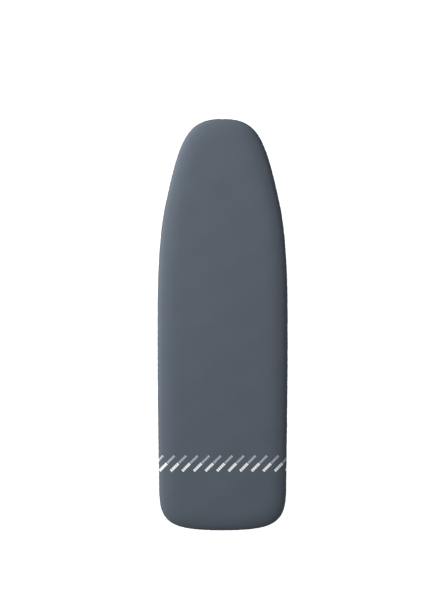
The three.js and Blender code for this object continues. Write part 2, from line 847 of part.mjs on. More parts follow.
// ================= release lever =================
const lever = new THREE.Group();
lever.position.set(leverPivotX, leverPivotY, 0);
group.add(lever);

const gripStart = innerTubeX - leverPivotX;
const gripEnd = gripStart + 56;
const stripEnd = gripEnd - 7;
const strip = new THREE.Shape();
strip.absarc(0, 0, LEVER_WIDTH / 2, Math.PI / 2, (3 * Math.PI) / 2);
strip.lineTo(stripEnd, -LEVER_WIDTH / 2);
strip.lineTo(stripEnd, LEVER_WIDTH / 2);
strip.closePath();
const leverBoss = bar(BOSS_RADIUS, leverBottom - 1, leverTop + 1, 16);
const leverBar = cut(
  join(
    welded(extruded(strip, LEVER_THICKNESS).translate(0, 0, leverBottom)),
    leverBoss.translate(-leverPivotX, -5.5, 0),
  ),
  hole(BOLT_RADIUS, RUN_GAP, leverBottom - 2, leverTop + 2, 16),
);
addMesh('release_lever', leverBar, 'steel', lever);

const gripHalf = 12;
const gripRound = 3;
const gripOutline = new THREE.Shape();
const gripRect = [gripStart + gripRound, gripEnd - gripRound, gripHalf - gripRound];
gripOutline.absarc(gripRect[0] + 5, gripRect[2] - 5, 5, Math.PI / 2, Math.PI);
gripOutline.absarc(gripRect[0] + 5, -gripRect[2] + 5, 5, Math.PI, 1.5 * Math.PI);
gripOutline.absarc(gripRect[1] - 5, -gripRect[2] + 5, 5, 1.5 * Math.PI, 2 * Math.PI);
gripOutline.absarc(gripRect[1] - 5, gripRect[2] - 5, 5, 0, Math.PI / 2);
const gripLow = leverBottom - 4.5;
const gripBody = extruded(gripOutline, 13 - 2 * gripRound, {
  bevelEnabled: true,
  bevelThickness: gripRound,
  bevelSize: gripRound,
  bevelSegments: 2,
  curveSegments: 3,
}).translate(0, 0, gripLow + gripRound);
const pocket = block(
  gripStart - 1,
  stripEnd + SEAT_GAP,
  -LEVER_WIDTH / 2 - SEAT_GAP,
  LEVER_WIDTH / 2 + SEAT_GAP,
  leverBottom - SEAT_GAP,
  leverTop + SEAT_GAP,
);
addMesh('lever_grip', cut(gripBody, pocket), 'plastic', lever);

const pinShoulder = BOLT_RADIUS + 2;
const leverPin = revolve(
  [
    [0, leverBottom - SEAT_GAP - HEAD_THICKNESS],
    [pinShoulder, leverBottom - SEAT_GAP - HEAD_THICKNESS],
    [pinShoulder, leverBottom - SEAT_GAP],
    [BOLT_RADIUS, leverBottom - SEAT_GAP],
    [BOLT_RADIUS, leverTop + SEAT_GAP],
    [pinShoulder, leverTop + SEAT_GAP],
    [pinShoulder, frameTop - wall - SEAT_GAP],
    [BOLT_RADIUS, frameTop - wall - SEAT_GAP],
    [BOLT_RADIUS, frameTop - SEAT_GAP],
    [0, frameTop - SEAT_GAP],
  ],
  16,
);
addMesh('lever_pivot_pin', leverPin, 'steel').position.set(leverPivotX, leverPivotY, 0);

// ================= storage hook =================
const earInner = HOOK_WIDTH / 2 + SEAT_GAP;
const earOuter = earInner + SHEET;
const earHalf = 8;
const strap = block(
  -earOuter,
  earOuter,
  pivotY - MEMBER_WIDTH / 2 + 5,
  hookPivotY + earHalf,
  frameTop - SHEET,
  frameTop,
);
const earLow = hookPivotZ - 7;
const ears = [-1, 1].map((hand) => {
  const [x0, x1] = hand < 0 ? [-earOuter, -earInner] : [earInner, earOuter];
  return block(x0, x1, hookPivotY - earHalf, hookPivotY + earHalf, earLow, frameTop);
});
const hookPinHole = alongX(hole(HOOK_PIN, RUN_GAP, -earOuter - 1, earOuter + 1, 12));
const hookBracket = cut(join(strap, ...ears), hookPinHole.translate(0, hookPivotY, hookPivotZ));
addMesh('hook_bracket', hookBracket, 'frame').position.x = hookX;

const hookPinEnd = earOuter + SEAT_GAP;
const hookPin = revolve(
  [
    [0, -hookPinEnd - 1.7],
    [HOOK_PIN + 2, -hookPinEnd - 1.7],
    [HOOK_PIN + 2, -hookPinEnd],
    [HOOK_PIN, -hookPinEnd],
    [HOOK_PIN, hookPinEnd],
    [HOOK_PIN + 2, hookPinEnd],
    [HOOK_PIN + 2, hookPinEnd + 1.7],
    [0, hookPinEnd + 1.7],
  ],
  12,
);
addMesh('hook_pin', alongX(hookPin), 'steel').position.set(hookX, hookPivotY, hookPivotZ);

// Drawn latched, in Y and Z from its pin, with its mouth round the folded brace.
const mouth = new THREE.Vector2(2 * CROSS_RADIUS, pivotZ - hookPivotZ);
const mouthRadius = CROSS_RADIUS + HOOK_ROOM;
const mouthEnd = rad(-20);
const hookShape = new THREE.Shape();
hookShape.absarc(0, 0, HOOK_KNUCKLE, 0, Math.PI);
hookShape.absarc(mouth.x, mouth.y, mouthRadius + HOOK_BAR, -Math.PI, mouthEnd);
hookShape.absarc(mouth.x, mouth.y, mouthRadius, mouthEnd, -Math.PI, true);
hookShape.closePath();
const hookHole = alongX(hole(HOOK_PIN, RUN_GAP, -HOOK_WIDTH, HOOK_WIDTH, 12));
const hook = cut(extrudedAlongX(hookShape, -HOOK_WIDTH / 2, HOOK_WIDTH / 2), hookHole);
const hookMesh = addMesh('storage_hook', hook, 'plastic');
hookMesh.position.set(hookX, hookPivotY, hookPivotZ);
hookMesh.rotation.x = -rad(HOOK_PARKED);

export default group;
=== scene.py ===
import json
import math

import bmesh
import bpy
from mathutils import Matrix, Vector

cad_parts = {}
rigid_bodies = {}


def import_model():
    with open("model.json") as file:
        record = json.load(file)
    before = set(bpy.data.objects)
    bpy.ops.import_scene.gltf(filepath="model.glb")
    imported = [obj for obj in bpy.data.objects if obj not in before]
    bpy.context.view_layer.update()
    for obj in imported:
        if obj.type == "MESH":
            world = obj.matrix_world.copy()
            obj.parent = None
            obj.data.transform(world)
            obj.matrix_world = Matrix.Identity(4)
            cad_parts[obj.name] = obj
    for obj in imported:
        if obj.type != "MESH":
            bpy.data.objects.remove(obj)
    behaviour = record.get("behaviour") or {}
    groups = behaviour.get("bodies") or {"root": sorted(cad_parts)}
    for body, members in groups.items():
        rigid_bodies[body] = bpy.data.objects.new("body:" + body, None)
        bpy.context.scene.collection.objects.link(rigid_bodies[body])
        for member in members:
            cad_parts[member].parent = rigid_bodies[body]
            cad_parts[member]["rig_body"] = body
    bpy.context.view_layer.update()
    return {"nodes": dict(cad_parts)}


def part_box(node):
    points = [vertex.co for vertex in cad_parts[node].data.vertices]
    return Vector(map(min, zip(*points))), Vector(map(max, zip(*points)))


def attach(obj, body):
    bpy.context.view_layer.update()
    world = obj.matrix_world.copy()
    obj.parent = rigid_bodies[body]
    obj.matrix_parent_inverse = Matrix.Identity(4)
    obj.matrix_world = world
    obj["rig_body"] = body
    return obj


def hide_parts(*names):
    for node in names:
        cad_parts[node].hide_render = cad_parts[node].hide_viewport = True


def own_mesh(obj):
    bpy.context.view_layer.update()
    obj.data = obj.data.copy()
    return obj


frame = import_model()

MM = 0.001
nodes = frame["nodes"]

# ------------------------------------------------------------------ sizes, mm
LENGTH = 1200
HALF_WIDTH = 190
TOP = 900
RIM_INSET = 12
RIM_Z = 882.9
SIDE_Z = 884.9  # where the rounded edge turns into the drop
EDGE_ROUND = 16  # where the sewn edge's own rows begin
CROWN = 60  # how far in from the edge the top starts to fall away
CROWN_POWER = 2.3
UNDER_Z = 875.4  # cloth drawn in under the rim
HEM_INSET = 23.7
HEM_Z = 874.0
HEM_ROUND = 2.9  # outside of the channel round the elastic
CLOTH = 0.8
ELASTIC_R = 1.3
PIVOT = (-300.0, 846.0)  # y, z of the outer leg's hinge
LEG_ANGLE = math.radians(57.07)
FOOT_Z = 15.0
LEG_LENGTH = (PIVOT[1] - FOOT_Z) / math.sin(LEG_ANGLE)
CROSS_AT = 345.0
BRACE_AT = 620.0
LEG_R = 11.0
CROSS_R = 8.0
WALL = 1.2
OVERHANG = 14  # leg tube beyond its pivot
CAP_SPACE = 6  # leg tube to the foot cap's mouth
FOOT_HALF = {"outer": 0.963 * 190, "inner": 0.974 * 190}  # half of each foot bar, caps on
OUTER_X = 0.316 * 380
INNER_X = OUTER_X - 28


# ------------------------------------------------------------------ materials
def colour(hex_code):
    """sRGB hex to the linear colour that a shader socket takes."""
    def linear(c):
        return c / 12.92 if c <= 0.04045 else ((c + 0.055) / 1.055) ** 2.4
    channels = [int(hex_code[i:i + 2], 16) / 255 for i in (1, 3, 5)]
    return (*[linear(c) for c in channels], 1.0)


def give(tree, node, inputs):
    """Sets a node's inputs. Each is a plain value, another node's output socket, or
    a node, which stands for its first output."""
    for key, value in inputs.items():
        if isinstance(value, bpy.types.Node):
            value = value.outputs[0]
        if isinstance(value, bpy.types.NodeSocket):
            tree.links.new(value, node.inputs[key])
        else:
            node.inputs[key].default_value = value


def add(tree, kind, inputs=None, **settings):
    """Adds one node with its settings and its inputs."""
    node = tree.nodes.new(kind)
    for name, value in settings.items():
        setattr(node, name, value)
    give(tree, node, inputs or {})
    return node


def blank_material(name):
    material = bpy.data.materials.new(name)
    material.use_nodes = True
    tree = material.node_tree
    tree.nodes.clear()
    shader = add(tree, "ShaderNodeBsdfPrincipled")
    add(tree, "ShaderNodeOutputMaterial", {"Surface": shader})
    return material, tree, shader


def object_mm(tree):
    """Object coordinates in millimetres."""
    coords = add(tree, "ShaderNodeTexCoord")
    return add(tree, "ShaderNodeVectorMath", {0: coords.outputs["Object"], "Scale": 1000.0},
               operation="SCALE")


# In the materials below a noise texture's Scale is 1 / the size of its features in mm,
# and Map Range inputs 1 to 4 are the lowest and highest value read, then given.
def woven_cloth(name, hex_code):
    """Plain woven cotton with a faint slub; reads the cloth's own flat pattern, and darkens the
    cloth along the rounded edge as painted shade.
    """
    thread_pitch = 0.55
    material, tree, shader = blank_material(name)
    uv = add(tree, "ShaderNodeUVMap", uv_map="cloth")
    flat = add(tree, "ShaderNodeVectorMath", {0: uv, "Scale": 1000.0}, operation="SCALE")
    axes = add(tree, "ShaderNodeSeparateXYZ", {"Vector": flat})
    waves = []
    for axis in "XY":
        turn = add(tree, "ShaderNodeMath", {0: axes.outputs[axis], 1: math.pi / thread_pitch},
                   operation="MULTIPLY")
        waves.append(add(tree, "ShaderNodeMath", {0: turn}, operation="SINE"))
    crowns = [add(tree, "ShaderNodeMath", {0: wave}, operation="ABSOLUTE") for wave in waves]
    both = add(tree, "ShaderNodeMath", {0: waves[0], 1: waves[1]}, operation="MULTIPLY")
    over = add(tree, "ShaderNodeMath", {0: both, 1: 0.0}, operation="GREATER_THAN")
    under = add(tree, "ShaderNodeMath", {0: 1.0, 1: over}, operation="SUBTRACT")
    warp, weft = [add(tree, "ShaderNodeMath", {0: crown_of, 1: where}, operation="MULTIPLY")
                  for crown_of, where in zip(crowns, (over, under))]
    weave = add(tree, "ShaderNodeMath", {0: warp, 1: weft}, operation="ADD")
    drawn_out = add(tree, "ShaderNodeVectorMath", {0: flat, 1: (1.0, 0.06, 1.0)},
                    operation="MULTIPLY")
    slub = add(tree, "ShaderNodeTexNoise", {"Vector": drawn_out, "Scale": 1 / 1.3, "Detail": 3.0,
                                            "Roughness": 0.5})
    mottle = add(tree, "ShaderNodeTexNoise", {"Vector": flat, "Scale": 1 / 70.0, "Detail": 3.0,
                                              "Roughness": 0.5})
    # painted shade: the cover's edge attribute darkens the colour by up to half along the rounded
    # edge
    painted_edge_shade = add(tree, "ShaderNodeAttribute", attribute_name="painted_edge_shade")
    shade = add(tree, "ShaderNodeMapRange", {0: slub, 1: 0.3, 2: 0.7, 3: 0.965, 4: 1.035})
    # painted shade: the weave term darkens the colour between the threads and lifts it a little on
    # their crowns
    for value, low, high, darkest, lightest in (
            (mottle, 0.3, 0.7, 0.98, 1.02), (weave, 0.0, 1.0, 0.9, 1.04),
            (painted_edge_shade.outputs["Fac"], 0.0, 1.0, 1.0, 0.5)):
        part = add(tree, "ShaderNodeMapRange",
                   {0: value, 1: low, 2: high, 3: darkest, 4: lightest})
        shade = add(tree, "ShaderNodeMath", {0: shade, 1: part}, operation="MULTIPLY")
    soft = add(tree, "ShaderNodeBump", {"Height": mottle, "Distance": 0.5 * MM, "Strength": 0.25})
    give(tree, shader, {
        "Base Color": add(tree, "ShaderNodeVectorMath",
                          {0: colour(hex_code)[:3], "Scale": shade}, operation="SCALE"),
        "Roughness": add(tree, "ShaderNodeMapRange", {0: slub, 1: 0.2, 2: 0.8, 3: 0.72, 4: 0.86}),
        "Sheen Weight": 0.06, "Sheen Roughness": 0.45, "Specular IOR Level": 0.35,
        "Normal": add(tree, "ShaderNodeBump", {"Height": weave, "Distance": 0.1 * MM,
                                               "Strength": 0.6, "Normal": soft})})
    return material


def powder_coat(name, hex_code):
    """Powder-coated steel: slight orange peel, faint scuffs and dust."""
    material, tree, shader = blank_material(name)
    at = object_mm(tree)
    peel, cloud, scuff = [
        add(tree, "ShaderNodeTexNoise",
            {"Vector": at, "Scale": 1 / size, "Detail": detail, "Roughness": rough})
        for size, detail, rough in ((1.1, 1.0, 0.5), (45.0, 3.0, 0.5), (9.0, 6.0, 0.7))]
    worn = add(tree, "ShaderNodeMapRange", {0: scuff, 1: 0.62, 2: 0.72, 3: 0.0, 4: 1.0})
    shade = add(tree, "ShaderNodeMath", {
        0: add(tree, "ShaderNodeMapRange", {0: cloud, 1: 0.3, 2: 0.7, 3: 0.95, 4: 1.04}),
        1: add(tree, "ShaderNodeMapRange", {0: worn, 1: 0.0, 2: 1.0, 3: 1.0, 4: 0.9})},
        operation="MULTIPLY")
    give(tree, shader, {
        "Base Color": add(tree, "ShaderNodeVectorMath",
                          {0: colour(hex_code)[:3], "Scale": shade}, operation="SCALE"),
        "Roughness": add(tree, "ShaderNodeMapRange", {0: worn, 1: 0.0, 2: 1.0, 3: 0.36, 4: 0.52}),
        "Metallic": 0.35, "Coat Weight": 0.15, "Coat Roughness": 0.25,
        "Normal": add(tree, "ShaderNodeBump", {"Height": peel, "Distance": 0.05 * MM,
                                               "Strength": 0.5})})
    return material


def plated_steel(name, hex_code, rough, stretch=(1.0, 1.0, 1.0), spangle=0.0):
    """Zinc-plated steel: drawn along one axis, or spangled from the dip."""
    material, tree, shader = blank_material(name)
    at = object_mm(tree)
    drawn = add(tree, "ShaderNodeVectorMath", {0: at, 1: stretch}, operation="MULTIPLY")
    grain = add(tree, "ShaderNodeTexNoise", {"Vector": drawn, "Scale": 1 / 0.5, "Detail": 3.0,
                                             "Roughness": 0.5})
    cloud = add(tree, "ShaderNodeTexNoise", {"Vector": at, "Scale": 1 / 22.0, "Detail": 2.0,
                                             "Roughness": 0.5})
    shade = add(tree, "ShaderNodeMapRange", {0: cloud, 1: 0.3, 2: 0.7, 3: 0.9, 4: 1.05})
    if spangle:
        cells = add(tree, "ShaderNodeTexVoronoi", {"Vector": at, "Scale": 1.0 / spangle})
        grey = add(tree, "ShaderNodeRGBToBW", {"Color": cells.outputs["Color"]})
        patch = add(tree, "ShaderNodeMapRange", {0: grey, 1: 0.0, 2: 1.0, 3: 0.86, 4: 1.08})
        shade = add(tree, "ShaderNodeMath", {0: shade, 1: patch}, operation="MULTIPLY")
    give(tree, shader, {
        "Base Color": add(tree, "ShaderNodeVectorMath",
                          {0: colour(hex_code)[:3], "Scale": shade}, operation="SCALE"),
        "Metallic": 1.0,
        "Roughness": add(tree, "ShaderNodeMapRange", {0: grain, 1: 0.3, 2: 0.7, 3: rough - 0.07,
                                                      4: rough + 0.09}),
        "Normal": add(tree, "ShaderNodeBump", {"Height": grain, "Distance": 0.03 * MM,
                                               "Strength": 0.35})})
    return material


def moulded_plastic(name, hex_code, rough=0.5, soft=0.0):
    """Moulded plastic with a fine eroded texture; soft lets light into it."""
    material, tree, shader = blank_material(name)
    at = object_mm(tree)
    grain = add(tree, "ShaderNodeTexNoise", {"Vector": at, "Scale": 1 / 0.45, "Detail": 2.0,
                                             "Roughness": 0.5})
    cloud = add(tree, "ShaderNodeTexNoise", {"Vector": at, "Scale": 1 / 16.0, "Detail": 3.0,
                                             "Roughness": 0.5})
    shade = add(tree, "ShaderNodeMapRange", {0: cloud, 1: 0.3, 2: 0.7, 3: 0.93, 4: 1.06})
    give(tree, shader, {
        "Base Color": add(tree, "ShaderNodeVectorMath",
                          {0: colour(hex_code)[:3], "Scale": shade}, operation="SCALE"),
        "Roughness": add(tree, "ShaderNodeMapRange", {0: cloud, 1: 0.3, 2: 0.7, 3: rough - 0.05,
                                                      4: rough + 0.08}),
        "Normal": add(tree, "ShaderNodeBump", {"Height": grain, "Distance": 0.04 * MM,
                                               "Strength": 0.6})})
    if soft:
        give(tree, shader, {"Subsurface Weight": soft, "Subsurface Scale": 0.004})
    return material


def felt(name, hex_code):
    """Needled felt: matted fibres and odd darker flecks."""
    material, tree, shader = blank_material(name)
    at = object_mm(tree)
    fibres = add(tree, "ShaderNodeTexNoise", {"Vector": at, "Scale": 1 / 0.7, "Detail": 6.0,
                                              "Roughness": 0.75})
    specks = add(tree, "ShaderNodeTexNoise", {"Vector": at, "Scale": 1 / 2.2, "Detail": 3.0,
                                              "Roughness": 0.5})
    fleck = add(tree, "ShaderNodeMapRange", {0: specks, 1: 0.64, 2: 0.7, 3: 0.0, 4: 1.0})
    shade = add(tree, "ShaderNodeMath", {
        0: add(tree, "ShaderNodeMapRange", {0: fibres, 1: 0.25, 2: 0.75, 3: 0.82, 4: 1.1}),
        1: add(tree, "ShaderNodeMapRange", {0: fleck, 1: 0.0, 2: 1.0, 3: 1.0, 4: 0.7})},
        operation="MULTIPLY")
    give(tree, shader, {
        "Base Color": add(tree, "ShaderNodeVectorMath",
                          {0: colour(hex_code)[:3], "Scale": shade}, operation="SCALE"),
        "Roughness": 0.95, "Sheen Weight": 0.4,
        "Normal": add(tree, "ShaderNodeBump", {"Height": fibres, "Distance": 0.4 * MM,
                                               "Strength": 0.8})})
    return material


def printed_ink(name, hex_code):
    """Ink or dyed thread, slightly broken up."""
    material, tree, shader = blank_material(name)
    gaps = add(tree, "ShaderNodeTexNoise", {"Vector": object_mm(tree), "Scale": 1 / 0.6,
                                            "Detail": 2.0, "Roughness": 0.5})
    shade = add(tree, "ShaderNodeMapRange", {0: gaps, 1: 0.3, 2: 0.7, 3: 0.9, 4: 1.03})
    give(tree, shader, {
        "Base Color": add(tree, "ShaderNodeVectorMath",
                          {0: colour(hex_code)[:3], "Scale": shade}, operation="SCALE"),
        "Roughness": 0.62,
        "Normal": add(tree, "ShaderNodeBump", {"Height": gaps, "Distance": 0.06 * MM,
                                               "Strength": 0.5})})
    return material


# dyed plain-weave cotton: matt, a little darker between its threads as painted shade, and darker
# along the rounded edge as painted shade
cover_cloth = woven_cloth("cover_cotton_slate", "#515a64")
# spun polyester thread: darker than the cloth, so the seam reads as a fine line
thread = printed_ink("polyester_thread_slate", "#3f4853")
# screen-print ink, opaque white: flat and chalky, the lightest thing on the board
ink_white = printed_ink("print_ink_white", "#fafbfc")
# the same ink thinned to grey: sinks into the weave and reads softer
ink_grey = printed_ink("print_ink_grey", "#c6ccd2")
# silver powder coat on the legs: fine orange peel and a soft, wide highlight
leg_coat = powder_coat("powder_coat_silver", "#94999d")
# the same coat on folded sheet, a shade darker
frame_coat = powder_coat("powder_coat_silver_frame", "#8c9195")
# hot-dip galvanised steel: dull grey in patches about 9 mm across
mesh_steel = plated_steel("galvanised_expanded_mesh", "#a9adb0", 0.4, spangle=9.0)
# bright zinc plate on bolts, plates and spring: sharper glints than the paint
bright_steel = plated_steel("zinc_plated_steel", "#b9bbbd", 0.3)
# ground steel rod: near-mirror, with lines drawn along it
rod_steel = plated_steel("ground_steel_rod", "#c3c5c7", 0.22, stretch=(1.0, 0.04, 1.0))
# moulded polypropylene, charcoal: satin, with a fine spark-eroded grain
charcoal = moulded_plastic("moulded_plastic_charcoal", "#2b2f34", 0.5)
# natural nylon: milky, lets a little light into its edges
nylon = moulded_plastic("nylon_natural", "#dedbd0", 0.42, soft=0.12)
# needled recycled felt: oatmeal, fibrous, with darker flecks
pad_felt = felt("needled_felt_oatmeal", "#cfc9bb")
# braided elastic: off-white and fuzzy
elastic = felt("braided_elastic_white", "#e3e0d8")


# ------------------------------------------------------------------ mesh helpers
def make_object(name, mesh, material):
    obj = bpy.data.objects.new(name, mesh)
    bpy.context.scene.collection.objects.link(obj)
    if material is not None:
        mesh.materials.append(material)
    return obj


def from_lists(name, points, faces, material, smooth=True):
    mesh = bpy.data.meshes.new(name)
    mesh.from_pydata([tuple(c * MM for c in p) for p in points], [], faces)
    mesh.polygons.foreach_set("use_smooth", [smooth] * len(mesh.polygons))
    mesh.update()
    return make_object(name, mesh, material)


def smooth_all(obj, sharp=None):
    """Shades every face smooth, with edges past sharp degrees kept sharp."""
    obj.data.polygons.foreach_set("use_smooth", [True] * len(obj.data.polygons))
    if sharp is not None:
        obj.data.set_sharp_from_angle(angle=math.radians(sharp))


def modify(obj, name, kind, **settings):
    """Adds one modifier with its settings."""
    modifier = obj.modifiers.new(name, kind)
    for label, value in settings.items():
        setattr(modifier, label, value)
    return modifier


def bake(obj):
    """Applies every modifier and leaves a plain mesh."""
    depsgraph = bpy.context.evaluated_depsgraph_get()
    done = bpy.data.meshes.new_from_object(obj.evaluated_get(depsgraph))
    old = obj.data
    obj.modifiers.clear()
    obj.data = done
    bpy.data.meshes.remove(old)
    return obj


def face_outwards(obj, merge=0.0, slivers=0.0):
    """Merges doubles and slivers (distances in mm) and turns every face outwards."""
    work = bmesh.new()
    work.from_mesh(obj.data)
    if merge:
        bmesh.ops.remove_doubles(work, verts=work.verts, dist=merge * MM)
    if slivers:
        bmesh.ops.dissolve_degenerate(work, edges=work.edges, dist=slivers * MM)
    bmesh.ops.recalc_face_normals(work, faces=work.faces)
    work.to_mesh(obj.data)
    work.free()


def finish(obj, body, replaced):
    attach(obj, body)
    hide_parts(replaced)
    return obj


def lathe(profile, sides=40):
    """Points and faces of a solid turned about Z; the profile runs from axis to
    axis, or is closed where no point lies on the axis."""
    points = []
    rows = []
    ring = all(r > 0 for r, _ in profile)
    for r, z in profile:
        count = 1 if r == 0 else sides
        rows.append([len(points) + i for i in range(count)])
        for i in range(count):
            turn = 2 * math.pi * i / sides
            points.append((r * math.cos(turn), r * math.sin(turn), z))
    faces = []
    spans = len(rows) if ring else len(rows) - 1
    for k in range(spans):
        low = rows[k]
        high = rows[(k + 1) % len(rows)]
        for i in range(sides):
            j = (i + 1) % sides
            quad = [low[i % len(low)], low[j % len(low)], high[j % len(high)], high[i % len(high)]]
            face = list(dict.fromkeys(quad))
            if len(face) > 2:
                faces.append(face)
    return points, faces


def turned(profile, matrix, sides=40):
    points, faces = lathe(profile, sides)
    return [tuple(matrix @ Vector(p)) for p in points], faces


def merged(name, parts, material, sharp=35):
    """One object from several lists of points and faces."""
    points = []
    faces = []
    for part_points, part_faces in parts:
        start = len(points)
        points.extend(part_points)
        faces.extend([[start + i for i in face] for face in part_faces])
    obj = from_lists(name, points, faces, material)
    obj.data.set_sharp_from_angle(angle=math.radians(sharp))
    return obj


def pipe_profile(r, wall, start, end, lip=0.4):
    inner = r - wall
    return [(inner, start + lip), (inner + lip, start), (r - lip, start), (r, start + lip),
            (r, end - lip), (r - lip, end), (inner + lip, end), (inner, end - lip)]


# ------------------------------------------------------------------ outline of the top
OUTLINE = [
    [(0, 0), (0.54, 0), (0.655, 0.045), (0.876, 0.206)],
    [(0.876, 0.206), (0.996, 0.297), (1, 0.421), (1, 0.517)],
    [(1, 0.517), (1, 0.683), (0.986, 0.775), (0.976, 0.9)],
    [(0.976, 0.9), (0.97, 0.981), (0.816, 1), (0, 1)],
]


def bezier(p, t):
    u = 1 - t
    return tuple(u ** 3 * p[0][k] + 3 * u * u * t * p[1][k] + 3 * u * t * t * p[2][k]
                 + t ** 3 * p[3][k] for k in (0, 1))


def outline(count):
    """count points a side, evenly spaced from nose to tail, then back up the
    other side. Each is (x, y, outward x, outward y, distance from the nose)."""
    fine = []
    for curve in OUTLINE:
        for i in range(200):
            share, back = bezier(curve, i / 200)
            fine.append(Vector((share * HALF_WIDTH, LENGTH * (0.5 - back))))
    fine.append(Vector((0, -LENGTH / 2)))
    reach = [0.0]
    for a, b in zip(fine, fine[1:]):
        reach.append(reach[-1] + (b - a).length)
    half = []
    k = 0
    for i in range(count + 1):
        want = reach[-1] * i / count
        while k < len(reach) - 2 and reach[k + 1] < want:
            k += 1
        t = (want - reach[k]) / (reach[k + 1] - reach[k])
        at = fine[k].lerp(fine[k + 1], t)
        before = fine[max(k - 3, 0)]
        after = fine[min(k + 4, len(fine) - 1)]
        along = (after - before).normalized()
        out = Vector((-along.y, along.x))
        if i == 0:
            out = Vector((0, 1))
        if i == count:
            out = Vector((0, -1))
        half.append((at.x, at.y, out.x, out.y, want))
    total = 2 * reach[-1]
    left = [(-x, y, -ox, oy, s) for x, y, ox, oy, s in half]
    right = [(x, y, ox, oy, total - s) for x, y, ox, oy, s in half[1:-1]]
    return left + right[::-1], total


RING, PERIMETER = outline(470)


def bend_at(i):
    """How sharply the outline turns at a point, 0 on the straights to about 1."""
    a = RING[i - 8]
    b = RING[(i + 8) % len(RING)]
    turn = math.acos(max(-1.0, min(1.0, a[2] * b[2] + a[3] * b[3])))
    return min(1.0, turn / 0.75)


BEND = [bend_at(i) for i in range(len(RING))]
BEND = [sum(BEND[(i + k) % len(BEND)] for k in range(-12, 13)) / 25 for i in range(len(BEND))]


def ripple(s, seed):
    """Uneven waves along the hem, closed on themselves round the outline."""
    total = 0.0
    for count, weight, phase in ((149, 1.0, 0.0), (187, 0.7, 1.9), (83, 0.6, 4.1), (43, 0.4, 2.6)):
        total += weight * math.sin(2 * math.pi * count * s / PERIMETER + phase + seed)
    return total / 1.6


# ------------------------------------------------------------------ the cover
def crown(inset, top=TOP, outside=0.0):
    """Height of a padded top at an inset from the outline."""
    x = max(0.0, min(1.0, (CROWN - inset) / (CROWN - outside)))
    return SIDE_Z + (top - SIDE_Z) * max(0.0, 1 - x ** CROWN_POWER) ** (1 / CROWN_POWER)


def crown_rows(count, outside=0.0, top=TOP):
    """(inset, z) rows over the rounded edge, evenly spaced round its curve."""
    x = (CROWN - EDGE_ROUND) / (CROWN - outside)
    first = math.acos(x ** (CROWN_POWER / 2))
    rows = []
    for i in range(count):
        turn = first * (1 - i / (count - 1))
        inset = CROWN - (CROWN - outside) * math.cos(turn) ** (2 / CROWN_POWER)
        rows.append((inset, SIDE_Z + (top - SIDE_Z) * math.sin(turn) ** (2 / CROWN_POWER)))
    return rows


EDGE_ROWS = 10


def cover_section():
    """(inset, z, cloth used from the outline, gather) down the cover's outside."""
    rows = crown_rows(EDGE_ROWS)
    for i in range(1, 6):
        turn = (i / 5) * (math.pi / 2)
        rows.append((RIM_INSET * (1 - math.cos(turn)),
                     SIDE_Z - (SIDE_Z - UNDER_Z) * math.sin(turn)))
    rows += [(16.5, 874.3), (19.6, 872.9)]
    for degrees in (235, 270, 305, 340, 15, 50, 90, 125, 158):
        turn = math.radians(degrees)
        rows.append((HEM_INSET + HEM_ROUND * math.cos(turn), HEM_Z + HEM_ROUND * math.sin(turn)))
    rows.append((18.6, 875.5))
    used = [0.0]
    for a, b in zip(rows, rows[1:]):
        used.append(used[-1] + math.hypot(b[0] - a[0], b[1] - a[1]))
    section = []
    for k, ((inset, z), length) in enumerate(zip(rows, used)):
        below = length - used[EDGE_ROWS - 1]
        section.append((inset, z, length - EDGE_ROUND, max(0.0, min(1.0, (below - 2) / 15))))
    return section


SECTION = cover_section()
NOSE_DIP = 0.8  # the small gather at the tip of the nose


def cover_point(i, inset, z, gather):
    x, y, ox, oy, s = RING[i]
    strength = gather * (0.28 + 0.72 * BEND[i])
    push = 1.5 * strength * ripple(s, 0.0)
    drop = 1.1 * strength * ripple(s, 1.3)
    from_tip = min(s, PERIMETER - s)
    tip = math.exp(-((from_tip / 7.0) ** 2))
    dip = NOSE_DIP * tip * max(0.0, 1 - inset / EDGE_ROUND) if z > HEM_Z + 6 else 0.0
    return (x - ox * (inset + dip) + ox * push * 0.55, y - oy * (inset + dip) + oy * push * 0.55,
            z + drop * 0.6 * gather)


def top_height(x, y):
    """The faint hills of a cover stretched over felt."""
    return (0.35 * math.sin(x / 61.0 + 0.7) * math.sin(y / 83.0 + 1.1)
            + 0.2 * math.sin(x / 27.0 + y / 39.0) + 0.15 * math.sin(y / 21.0 - x / 33.0))


def spine_point(x, y):
    return 0.0, max(-455.0, min(430.0, y * 0.9))


SPARE_CLOTH = 0.055  # how much more cloth there is than room, where the elastic draws it in
FRAMES = 20
RIM_CLEAR = 7.4  # rim, cloth and a little air, from the rim's middle


def soft_limit(value, low, high):
    """Keeps a move between -low and high without a hard stop."""
    return high * math.tanh(value / high) if value > 0 else low * math.tanh(value / low)


